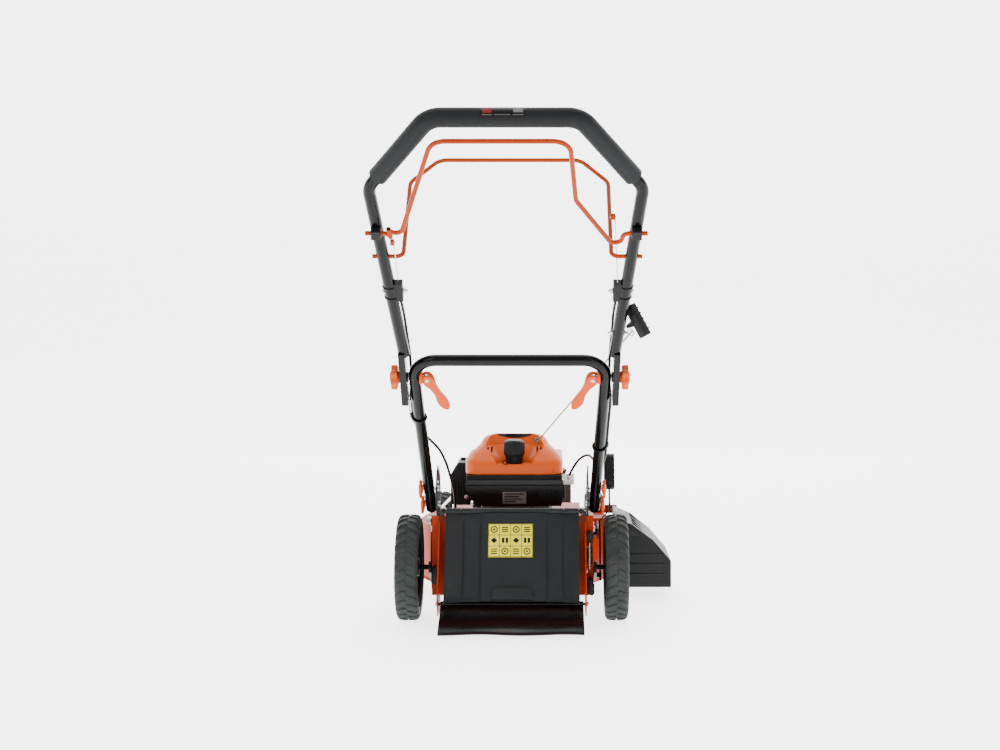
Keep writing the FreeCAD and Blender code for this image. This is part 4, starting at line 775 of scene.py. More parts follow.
@dataclass
class Handle(Assembly):
    """Both handle tubes, the grip, clamps, knobs, levers and deck brackets, in millimetres."""

    grip_radius: float = 19.0
    joint_down: float = 680.0
    upper_bolt_down: float = 1040.0
    lower_bolt_down: float = 1094.0
    clamp_down: float = 432.0
    guide_down: float = 550.0
    clamp_reach: float = 12.6
    cup_x: float = 190.2
    cam_x: float = 178.0
    cam_splay: float = 25.0

    def build(self) -> None:
        """Makes the sub-assembly's pieces."""
        self.dress(Look.BLACK_TUBE, "upper_handle", "lower_handle")
        self.dress(Look.ZINC, "handle_bolts", "rope_guide")
        self.dress(Look.BLACK_PLASTIC, "tube_clamps", bevel=1.0)
        self.dress(Look.BLACK_PAINT, "handle_bracket_left", "handle_bracket_right", bevel=0.5)
        self.grip()
        for word, side in SIDES.items():
            self.clamp_bolts(word, side)
            self.knobs(word, side)
            self.cam_lever(word, side)
            self.fittings(word, side)

    def grip(self) -> None:
        """Foam sleeve, its end collars and a plain plate on its middle."""
        ends = [(-244.3, 138.5, 0), (-141, 0, 0), (141, 0, 0), (244.3, 138.5, 0)]
        path = rounded(ends, [46, 46], 14)
        radii = [self.grip_radius] * len(path)
        outward = (path[-1] - path[-2]).normalized()
        mirrored = Vector((-outward.x, outward.y, 0))
        path = [path[0] + mirrored * 2, path[0] + mirrored * 1, *path, path[-1] + outward * 1, path[-1] + outward * 2]
        radii = [17.2, 18.5, *radii, 18.5, 17.2]
        foam = Form(HANDLE).sweep(path, radii, 40)
        self.keep(foam.done("grip_foam", Look.FOAM, "upper_handle", "foam", ["foam_grip"]))
        plate = Form(HANDLE).sheet(self.patch(-45, 40, 149, 229, 19.1), 0.5)
        self.keep(plate.done("grip_plate", Look.INK, "upper_handle", "black_plastic"))
        marks = Form(HANDLE)
        for low, high in ((-41, -22), (-18, 12), (16, 36)):
            for start, end in ((158, 161), (217, 220)):
                marks.sheet(self.patch(low, high, start, end, 19.65), 0.2)
        marks.sheet(self.patch(17, 35, 174, 204, 19.65), 0.2)
        self.keep(marks.done("grip_plate_marks", Look.PALE, "upper_handle"))
        tag = Form(HANDLE).sheet(self.patch(-40, -23, 170, 208, 19.65), 0.2)
        self.keep(tag.done("grip_plate_tag", Look.RED_INK, "upper_handle"))

    @staticmethod
    def patch(low: float, high: float, start: float, end: float, radius: float) -> list[list[tuple]]:
        """A grid over part of the grip's round surface, angles in degrees from down the handle.

        Args:
            low: its lowest X.
            high: its highest X.
            start: its first angle.
            end: its last angle.
            radius: radius of the surface.

        Returns:
            The rows of the grid.
        """
        rows = []
        for a in range(9):
            turn = math.radians(start + (end - start) * a / 8)
            rows.append([(low + (high - low) * b / 6, radius * math.cos(turn), radius * math.sin(turn))
                         for b in range(7)])
        return rows

    def clamp_bolts(self, word: str, side: int) -> None:
        """Bolts through the cable clamps and the bail saddles, with their nuts.

        Args:
            word: left or right.
            side: the sign of X.
        """
        bolts = Form(HANDLE)
        spots = [(self.clamp_down, 25.6)]
        if side > 0:
            spots.append((self.guide_down, self.clamp_reach))
        for down, inward in spots:
            inner = tube_x(down) - inward
            outer = tube_x(down) + self.clamp_reach
            bolts.hexagon((side * inner, down, 0), (side * (inner - 5), down, 0), 10)
            bolts.rod((side * (inner - 5), down, 0), (side * (inner - 10), down, 0), 3.4, 2.6, bevel=0.5)
            bolts.rod((side * outer, down, 0), (side * (outer + 1.2), down, 0), 7, bevel=0.3)
            dome = [(0, 0), (0, 5), (1.6, 4.4), (3.2, 2.2), (3.6, 0)]
            bolts.lathe((side * (outer + 1.2), down, 0), (side, 0, 0), dome, 20)
        self.keep(bolts.done(f"clamp_bolts_{word}", Look.ZINC, "upper_handle", "steel"))
        strap = Form(HANDLE)
        for down in (418, 446):
            middle = tube_x(down)
            ring = [Vector((side * middle + 13.4 * math.cos(t), down, 13.4 * math.sin(t)))
                    for t in (2 * math.pi * k / 28 for k in range(28))]
            strap.sweep(ring, 1.5, 8, closed=True)
        self.keep(strap.done(f"clamp_straps_{word}", Look.BLACK_PLASTIC, "upper_handle", "black_plastic"))

    def knobs(self, word: str, side: int) -> None:
        """Star knobs: a large one at the joint and two smaller ones at the deck.

        Args:
            word: left or right.
            side: the sign of X.
        """
        lean = (leg_x(0) - leg_x(21.5))
        kinds = [("joint_knob", self.joint_down, 233.3, 27.0, 22.0)]
        for name, down in (("upper_deck_knob", self.upper_bolt_down), ("lower_deck_knob", self.lower_bolt_down)):
            kinds.append((name, down, leg_x(down) + 12.8 + lean, 21.5, 10.0))
        for name, down, start, radius, long in kinds:
            body = f"{name}_{word}"
            knob = Form(HANDLE)
            rim = star((down, 0), radius)
            low, high = sorted((side * (start + long * 0.22), side * (start + long * 0.86)))
            knob.prism(rim, low, high, "x", bevel=radius * 0.11, segments=3)
            hub = [(0, 0), (0, radius * 0.42), (long * 0.2, radius * 0.50), (long * 0.5, radius * 0.62),
                   (long * 0.9, radius * 0.50), (long, radius * 0.38), (long, 0)]
            knob.lathe((side * start, down, 0), (side, 0, 0), hub, 32, bevel=0.4)
            self.keep(knob.done(f"{name}_star_{word}", Look.ORANGE_KNOB, body, "orange_plastic", [body]))

    def cam_lever(self, word: str, side: int) -> None:
        """Forked cam lever with a rivet through its head and a broad thumb paddle.

        Args:
            word: left or right.
            side: the sign of X.
        """
        splay = math.radians(self.cam_splay)
        along = Vector((-side * math.sin(splay), math.cos(splay)))
        across = Vector((-along.y, along.x)) * -side
        centre = Vector((side * self.cam_x, self.joint_down))

        def spot(reach: float, wide: float) -> tuple[float, float]:
            """A point of the lever, out from its pin and across it."""
            point = centre + along * reach + across * wide
            return point.x, point.y

        turns = [math.pi / 2 + math.pi * k / 12 for k in range(13)]
        head = [spot(4 + 13 * math.cos(t), 12.5 * math.sin(t)) for t in turns]
        neck = [spot(14, -12), spot(26, -8.6), spot(26, 8.6), spot(14, 12)]
        body = f"cam_lever_{word}"
        lever = Form(HANDLE)
        for low, high in ((-8.5, -4.3), (4.3, 8.5)):
            lever.prism(head + neck, low, high, "z", bevel=1.1)
        upper = [(18, 11), (32, 8.6), (48, 7.2), (58, 8.2), (68, 11.4), (80, 13.4), (90, 12.2), (99, 8.6), (104, 3.4)]
        lower = [(104.5, -1.8), (99, -6.2), (88, -8.6), (74, -8.6), (60, -7.2), (44, -6.8), (30, -8.6), (18, -11)]
        lever.prism([spot(r, w) for r, w in upper + lower], -6.4, 6.4, "z", bevel=2.6, segments=3)
        self.keep(lever.done(f"cam_lever_arm_{word}", Look.ORANGE_LEVER, body, "orange_plastic", [body]))
        rivet = Form(HANDLE)
        place = Vector((*(centre + along * 5), 0))
        for end in (-1, 1):
            dome = [(0, 0), (0, 4.6), (0.8, 4.4), (1.5, 2.6), (1.7, 0)]
            rivet.lathe(place + Vector((0, 0, end * 8.3)), (0, 0, end), dome, 24)
        self.keep(rivet.done(f"cam_rivet_{word}", Look.ZINC, body, "steel"))
        cup = Form(HANDLE)
        bowl = [(-2, 5), (-2, 15), (2, 15.5), (4.5, 12), (4.5, 5)]
        cup.lathe((side * self.cup_x, self.joint_down, 0), (-side, 0, 0), bowl, 36, bevel=0.5)
        self.keep(cup.done(f"cam_cup_{word}", Look.ORANGE_LEVER, "lower_handle", "orange_plastic"))

    def fittings(self, word: str, side: int) -> None:
        """Spacers at the joint, plugs in the open tube ends and washers at the deck.

        Args:
            word: left or right.
            side: the sign of X.
        """
        spacer = Form(HANDLE)
        spacer.rod((side * 216.0, self.joint_down, 0), (side * 218.9, self.joint_down, 0), 11, sides=28, bevel=0.4)
        self.keep(spacer.done(f"joint_spacer_{word}", Look.BLACK_PLASTIC, "upper_handle", "black_plastic"))
        tail = side * leg_x(1108)
        plug = Form(HANDLE).rod((tail, 1100, 0), (tail, 1111, 0), 12.4, 11.2, 28, bevel=0.6)
        self.keep(plug.done(f"leg_plug_{word}", Look.BLACK_PLASTIC, "lower_handle", "black_plastic"))
        foot = Form()
        for y in (8, 58):
            foot.hexagon((side * 163.5, y, 243), (side * 163.5, y, 248), 11)
            foot.rod((side * 163.5, y, 243), (side * 163.5, y, 244.2), 7.5, bevel=0.3)
        self.keep(foot.done(f"bracket_bolts_{word}", Look.ZINC, "chassis", "steel"))


@dataclass
class Controls(Assembly):
    """Both bails with their wires, both cables, and the recoil starter's rope and grip, in millimetres."""

    sheath_radius: float = 3.0
    wire_radius: float = 0.9
    rope_radius: float = 1.75
    spare_radius: float = 1.7

    def build(self) -> None:
        """Makes the sub-assembly's pieces."""
        self.dress(Look.ORANGE_ROD, "drive_bail", "brake_bail")
        self.dress(Look.ZINC, "brake_cable_bracket", bevel=0.4)
        self.wires()
        self.cables()
        self.starter()

    def wires(self) -> None:
        """Inner wires from the bails to the cable clamps, with crimped balls."""
        plans = (("drive", Vector((-221.5, 290, -16)), -1), ("brake", Vector((214.5, 288, 61)), 1))
        for name, top, side in plans:
            foot = Vector((side * (tube_x(409) - 19), 409.5, 0))
            path = [top.lerp(foot, k / 24) for k in range(25)]
            wire = Form(HANDLE).sweep(path, self.wire_radius, 8).done(f"{name}_wire", Look.ZINC, None, "steel")
            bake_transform(wire)
            self.keep(wire)
            ends = Form(HANDLE).ball(top, 3.4)
            ends.rod(top, top.lerp(foot, 0.10), 2.2, 1.7, 14)
            self.keep(ends.done(f"{name}_wire_end", Look.ZINC, f"{name}_bail", "steel"))
            tab = Form(HANDLE)
            inner = side * 206 if side > 0 else side * 227.5
            tab.box((min(inner, top.x) - 1, top.y - 6, top.z - 5), (max(inner, top.x) + 1, top.y + 5, top.z + 4), 1.2)
            self.keep(tab.done(f"{name}_wire_tab", Look.ORANGE_ROD, f"{name}_bail", "orange_rod"))

    @staticmethod
    def cable_path(side: int) -> tuple[list[Vector], list[Vector]]:
        """A cable's run along the handle and on to the machine, in mower millimetres.

        Args:
            side: the sign of X.

        Returns:
            The run's upper and lower points.
        """
        back = MOWER.inverted() @ HANDLE

        def on(x: float, down: float, out: float) -> Vector:
            """A handle point in mower millimetres."""
            return back @ Vector((side * x, down, out))

        upper = [on(tube_x(455) - 17, 456, 0), on(tube_x(500) - 17, 500, 3), on(215, 555, 20), on(212, 630, 26),
                 on(212, 704, 26), on(217, 762, 12)]
        if side < 0:
            lower = [on(216, 815, 8), on(207, 858, 22), on(186, 896, 24), Vector((-163, -76, 400)),
                     Vector((-150, -24, 360)), Vector((-141, 28, 310)), Vector((-136, 78, 266)),
                     Vector((-136, 78, 98))]
        else:
            lower = [on(213.5, 830, 7), on(211.5, 895, 8), on(208.5, 955, 12), on(197, 1000, 28),
                     Vector((176, 2, 380)), Vector((155, 66, 362)), Vector((139, 122, 330)), Vector((131, 178, 304))]
        return upper, lower

    def cables(self) -> None:
        """Sheathed cables in two lengths each, parted between the handle's joint and its foot."""
        back = HANDLE.inverted() @ MOWER
        for name, side in (("drive", -1), ("brake", 1)):
            upper, lower = self.cable_path(side)
            path = fair(upper + lower)
            downs = [(back @ point).y for point in path]
            split = next(k for k, down in enumerate(downs) if down > (800 if side < 0 else 810))
            first = Form().sweep(self.dense(path[:split + 1]), self.sheath_radius, 14)
            first = first.done(f"{name}_sheath_upper", Look.SHEATH, None, "cable", [f"{name}_cable"])
            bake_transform(first)
            second = Form().sweep(self.dense(path[split:]), self.sheath_radius, 14)
            second = second.done(f"{name}_sheath_lower", Look.SHEATH, None, "cable")
            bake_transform(second)
            self.made += [first, second]
            self.cable_fittings(name, side, path, downs)

    @staticmethod
    def dense(path: list[Vector]) -> list[Vector]:
        """The same path with no run longer than 8 mm.

        Args:
            path: the path's points.

        Returns:
            The points of the denser path.
        """
        made = [path[0]]
        for one, two in zip(path, path[1:]):
            pieces = max(1, math.ceil((two - one).length / 8))
            made += [one.lerp(two, k / pieces) for k in range(1, pieces + 1)]
        return made

    def cable_fittings(self, name: str, side: int, path: list[Vector], downs: list[float]) -> None:
        """Adjuster barrel, clips to the leg and end ferrules.

        Args:
            name: drive or brake.
            side: the sign of X.
            path: the cable's points.
            downs: each point's distance down the handle.
        """
        def at_down(down: float) -> Vector:
            """The cable's point at a distance down the handle."""
            spot = next(k for k, value in enumerate(downs) if value > down)
            share = (down - downs[spot - 1]) / (downs[spot] - downs[spot - 1])
            return path[spot - 1].lerp(path[spot], share)

        barrel = Form()
        if side < 0:
            barrel.rod(at_down(762), at_down(768), 4.4, sides=20)
            barrel.rod(at_down(768), at_down(786), 6.2, sides=6, bevel=0.5)
            barrel.rod(at_down(786), at_down(796), 4.4, sides=20, bevel=0.3)
            barrel.rod(at_down(790), at_down(794), 6.6, sides=6, bevel=0.4)
        else:
            barrel.rod(path[-1] + Vector((0, -16, 3)), path[-1] + Vector((0, -2, 0.6)), 4.2, sides=20, bevel=0.4)
        self.keep(barrel.done(f"{name}_adjuster", Look.ZINC, "lower_handle" if side < 0 else "chassis", "steel"))
        clips = Form(HANDLE)
        back = HANDLE.inverted() @ MOWER
        for down in ((806,) if side < 0 else (900,)):
            cable = back @ at_down(down)
            middle = Vector((side * leg_x(down), down, 0))
            ring = [Vector((middle.x + 13.3 * math.cos(t), down, 13.3 * math.sin(t)))
                    for t in (2 * math.pi * k / 28 for k in range(28))]
            clips.sweep(ring, 2.2, 8, closed=True, flat=2.2)
            clips.rod(cable - Vector((0, 7, 0)), cable + Vector((0, 7, 0)), 5.0, sides=20, bevel=0.8)
            clips.box((min(cable.x, middle.x + side * 12) - 1, down - 6, -3),
                      (max(cable.x, middle.x + side * 12) + 1, down + 6, 12), 1.5)
        self.keep(clips.done(f"{name}_clip", Look.BLACK_PLASTIC, "lower_handle", "black_plastic"))

    def starter(self) -> None:
        """Rope in two lengths, its spare length at the guide, and the T grip."""
        back = MOWER.inverted() @ HANDLE
        ring = back @ Vector((tube_x(550) + 25.5, 550, 0))
        hole = Vector((54.5, 189.5, 386))
        pull = (ring - hole).normalized()
        start, end = hole - pull * 5, ring + pull * 1.5
        middle = start.lerp(end, 0.42)

        def strand(one: Vector, two: Vector, pieces: int) -> list[Vector]:
            """Evenly spaced points of a straight run."""
            return [one.lerp(two, k / pieces) for k in range(pieces + 1)]

        low = Form().sweep(strand(start, middle, 40), self.rope_radius, 10)
        low = low.done("rope_low", Look.CORD, None, "rope", ["starter_rope"])
        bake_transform(low)
        high = Form().sweep(strand(middle, end, 50), self.rope_radius, 10)
        high = high.done("rope_high", Look.CORD, None, "rope")
        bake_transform(high)
        spare = Form().sweep(strand(ring, ring + pull * 9, 40), self.spare_radius, 10)
        spare = spare.done("rope_spare", Look.CORD, None, "rope")
        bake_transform(spare)
        self.made += [low, high, spare]
        centre = ring + Vector((13, -21, 26))
        tilt = math.radians(28)
        upward = Vector((-math.sin(tilt), 0.12, math.cos(tilt))).normalized()
        outward = (centre - ring).normalized()
        side = upward.cross(outward).normalized()
        outward = side.cross(upward)
        local = Matrix((side, outward, upward)).transposed().to_4x4()
        local.translation = centre
        grip = Form(MOWER @ local)
        outline = [(-9, -11), (9, -11), (11, 0), (9, 11), (-9, 11), (-11, 0)]
        grip.prism(rounded_outline(outline, 4), -36, 36, "z", 2.5, 3)
        for level in (-24, -12, 0, 12, 24):
            grip.box((-11.3, -5, level - 1.6), (11.3, 11.2, level + 1.6), 1.2)
        grip.lathe((0, -8, 0), (0, -1, 0), [(0, 0), (0, 10), (6, 7.5), (22, 4.6), (25, 4.0), (25, 0)], 24)
        self.keep(grip.done("starter_handle", Look.BLACK_PLASTIC, "starter_grip", "black_plastic", ["starter_grip"]))


@dataclass
class Engine(Assembly):
    """Recoil cover, fuel cap and tank, filter box, carburettor, cylinder and silencer, in millimetres."""

    scoop_y: float = 150.0
    cap_y: float = 166.0
    crank_y: float = 325.0
    vent: Point = (0, 318, 389.4)
    vent_spokes: int = 14

    def build(self) -> None:
        """Makes the sub-assembly's pieces."""
        self.dress(Look.CAST, "crankcase", "cylinder", "carburettor", "gearbox", bevel=0.8)
        self.dress(Look.BURNT, "muffler", bevel=3.0)
        self.dress(Look.BLACK_GLOSS, "fuel_tank", bevel=3.0)
        self.dress(Look.BLACK_PLASTIC, "air_filter_box", bevel=3.0)
        self.dress(Look.BRUSHED, "crankshaft", "flywheel", "blade_adapter", "blade_bolt", "gearbox_pulley")
        self.dress(Look.BLACK_PAINT, "blade", bevel=0.6)
        self.dress(Look.BLACK_PLASTIC, "starter_reel")
        self.dress(Look.RUBBER, "drive_belt")
        self.cover()
        self.cap()
        self.tank_details()
        self.intake()
        self.blade_tips()

    @staticmethod
    def band(half: float, back: float, front: float, level: float, radius: float, fall: float = 0.0) -> list[tuple]:
        """A ring of points: a round-cornered rectangle at a level that may fall away forward.

        Args:
            half: half its width.
            back: its rear edge.
            front: its front edge.
            level: its level at the rear.
            radius: radius of its corners.
            fall: how far it falls for each unit forward.

        Returns:
            The ring's points.
        """
        corners = [(-half, back), (half, back), (half, front), (-half, front)]
        return [(x, y, level - fall * (y - back)) for x, y in rounded_outline(corners, radius, 7)]

    def cover(self) -> None:
        """Stepped blower cover with a scoop round the cap, vents and a dark badge band."""
        rings = [self.band(115.5, 141, 454.5, 313, 33), self.band(117, 140, 456, 315, 34),
                 self.band(117, 140, 456, 338, 34), self.band(115.5, 146, 454, 346, 34, 0.03),
                 self.band(108, 165, 450, 361, 33, 0.10), self.band(90, 185, 444, 377, 33, 0.13),
                 self.band(84, 190, 440, 382, 33, 0.14), self.band(78, 200, 436, 393, 33, 0.15),
                 self.band(71, 207, 430, 400, 33, 0.15), self.band(56, 222, 414, 403.5, 28, 0.15)]
        cover = Form().loft(rings, bevel=1.0)
        hollow = [(337.5, 0), (337.5, 42), (352, 50), (376, 80), (412, 88), (412, 0)]
        scoop = Form().lathe((0, self.scoop_y, 0), (0, 0, 1), hollow, 64)
        cover.carve(scoop)
        for x in (-64, -55, 55, 64):
            cover.carve(Form().box((x - 2.0, 180, 360), (x + 2.0, 226, 373)))
        self.keep(cover.done("engine_cover", Look.ORANGE_SHELL, "chassis", "orange_plastic", ["recoil_cover"]))
        rim = Form()
        rim.lathe(self.vent, (0, 0.15, 1), [(-4, 0), (-4, 47), (0.4, 47), (0.8, 45), (-0.4, 40), (-0.4, 0)], 64)
        for k in range(self.vent_spokes):
            turn = Matrix.Rotation(2 * math.pi * k / self.vent_spokes, 4, "Z")
            spoke = turn @ Vector((0, 26, 0))
            spot = Vector(self.vent) + spoke - Vector((0, 0, 0.15 * spoke.y))
            rim.box(spot - Vector((1.6, 11, 1.2)), spot + Vector((1.6, 11, 1.0)), 0.4, turn)
        self.keep(rim.done("cover_vent", Look.BLACK_PLASTIC, "chassis", "black_plastic"))
        badge = []
        for share in (0.0, 0.25, 0.5, 0.75, 1.0):
            row = []
            for k in range(17):
                turn = math.radians(-29 + 58 * k / 16)
                low = 391.0 + 7.5 * (turn / 0.506) ** 2
                level = low + (400.5 - low) * share
                reach = 79.2 + (level - 376) * 8 / 36
                row.append((reach * math.sin(turn), self.scoop_y + reach * math.cos(turn), level))
            badge.append(row)
        self.keep(Form().sheet(badge, 0.8).done("cover_badge", Look.BLACK_GLOSS, "chassis"))
        ring = [(-3, 3), (-3, 6.5), (2, 6.5), (3.4, 5), (3.4, 3)]
        eyelet = Form().lathe((54.5, 207, 388), Vector((0.30, -0.84, 0.44)), ring, 28)
        self.keep(eyelet.done("rope_eyelet", Look.PALE, "chassis", "black_plastic"))

    def cap(self) -> None:
        """Ribbed fuel cap, narrower below."""
        cap = Form()
        outline = [(x, y) for x, y in star((0, self.cap_y), 25, 20, 0.07)]
        cap.prism(outline, 358, 389, "z", bevel=1.2)
        skirt = [(338, 0), (338, 19.5), (340, 21), (352, 21), (358, 24), (358, 0)]
        crown = [(388, 0), (388, 23), (391, 21.5), (393.4, 17), (394, 9), (394, 0)]
        for profile in (skirt, crown):
            cap.lathe((0, self.cap_y, 0), (0, 0, 1), profile, 48)
        cap.box((-3, 146, 391), (3, 186, 394), 1.2)
        loop = [Vector((-20 + 6.5 * math.cos(t), 142 + 2.0 * math.sin(t), 342 + 4.5 * math.sin(t)))
                for t in (2 * math.pi * k / 24 for k in range(24))]
        cap.sweep(loop, 1.4, 8, closed=True)
        self.keep(cap.done("cap_shell", Look.BLACK_PLASTIC, "cap", "black_plastic", ["fuel_cap"]))

    def tank_details(self) -> None:
        """Seam, plain label and straps on the tank."""
        seam = Form()
        seam.box((-116, 138.8, 286), (116, 141, 289.5), 0.8)
        seam.box((-112.5, 138.2, 300), (112.5, 141, 311), 1.2)
        seam.box((58, 137.5, 246), (112, 140.5, 276), 1.0)
        for k in range(5):
            seam.box((62 + k * 10, 135.6, 248), (66 + k * 10, 139, 274), 0.8)
        self.keep(seam.done("tank_seam", Look.BLACK_PLASTIC, "chassis", "black_plastic"))
        label = Form().box((-27, 139.3, 244), (29, 140.2, 272), 0.3)
        self.keep(label.done("tank_label", Look.PALE, "chassis"))
        bars = Form()
        for k, (low, high) in enumerate(((-23, 25), (-23, 12), (-23, 20), (-23, 4))):
            bars.box((low, 138.9, 266 - 6 * k), (high, 139.5, 268.6 - 6 * k))
        self.keep(bars.done("tank_label_bars", Look.INK, "chassis"))

    def intake(self) -> None:
        """Fuel line, governor rod, filter knob, plug lead and the small springs and screws."""
        line = [(-92, 150, 244), (-96, 158, 236), (-99, 190, 232), (-98, 236, 228), (-97, 262, 232)]
        pipes = Form().sweep(fair(line), 3.4, 14)
        lead = [(40, 400, 292), (30, 430, 306), (12, 480, 300), (0, 512, 270), (0, 520, 244)]
        pipes.sweep(fair(lead), 3.6, 14)
        pipes.lathe((0, 506, 240), (0, 1, 0.2), [(0, 0), (0, 9), (16, 8), (24, 5.5), (24, 0)], 24)
        self.keep(pipes.done("fuel_line", Look.SHEATH, "chassis", "cable"))
        copper = Form().rod((-112, 262, 236), (-78, 262, 236), 3.2, sides=18, bevel=0.4)
        copper.rod((-86, 258, 226), (-86, 258, 250), 3.6, sides=18, bevel=0.4)
        copper.rod((119, 190, 318), (119, 214, 318), 2.4, sides=14)
        self.keep(copper.done("jet_screws", Look.COPPER, "chassis"))
        silver = Form()
        coil = [Vector((-80 + k * 0.28, 250 + 3.4 * math.cos(k * 0.7), 258 + 3.4 * math.sin(k * 0.7)))
                for k in range(100)]
        silver.sweep(coil, 0.6, 6)
        silver.rod((-108, 256, 262), (-70, 246, 268), 1.4, sides=12)
        silver.hexagon((-96, 262, 250), (-96, 257, 250), 9)
        silver.hexagon((-118, 238, 246), (-118, 232, 246), 10)
        for x, y in ((-70, 257), (70, 257), (-70, 393), (70, 393)):
            silver.hexagon((x * 1.22, y, 192), (x * 1.22, y, 199), 13)
        silver.rod((131, 196, 301), (131, 252, 296), 1.5, sides=12)
        silver.hexagon((131, 184.5, 301), (131, 180.5, 301), 9)
        self.keep(silver.done("linkage", Look.ZINC, "chassis", "steel"))
        arm = Form()
        arm.prism([(96, 300), (124, 304), (127, 312), (122, 318), (94, 312)], 228, 231, "y", bevel=0.8)
        arm.prism([(104, 246), (122, 250), (122, 286), (104, 290)], 196, 199, "y", bevel=0.8)
        self.keep(arm.done("brake_arm", Look.BLACK_PAINT, "chassis", "black_paint"))
        ribs = Form()
        for k in range(6):
            ribs.box((-156 + k * 7, 236, 246), (-153 + k * 7, 239, 286), 0.8)
        knob = [(0, 0), (0, 11), (4, 11), (6, 9), (9, 8.4), (9, 0)]
        ribs.lathe((-132, 290, 305), (0, 0, 1), knob, 28, bevel=0.5)
        self.keep(ribs.done("filter_ribs", Look.BLACK_PLASTIC, "chassis", "black_plastic"))

    def blade_tips(self) -> None:
        """Raised wings on the blade's trailing edges and the washer above its bolt."""
        tips = Form()
        for side in (-1, 1):
            edge = self.crank_y + side * 26
            inner = self.crank_y + side * 12
            tips.loft([[(side * x, edge, 84), (side * x, edge - side * 2, 86), (side * x, inner, 86.2),
                        (side * x, inner, 84.4)] for x in (150, 168)]
                      + [[(side * x, edge, 90), (side * x, edge - side * 2, 92), (side * x, inner, 86.2),
                          (side * x, inner, 84.4)] for x in (186, 226)])
        self.keep(tips.done("blade_wings", Look.BLACK_PAINT, "crank", "steel"))
        washer = Form().rod((0, self.crank_y, 80.5), (0, self.crank_y, 82), 19, sides=40, bevel=0.4)
        self.keep(washer.done("blade_washer", Look.ZINC, "crank", "steel"))


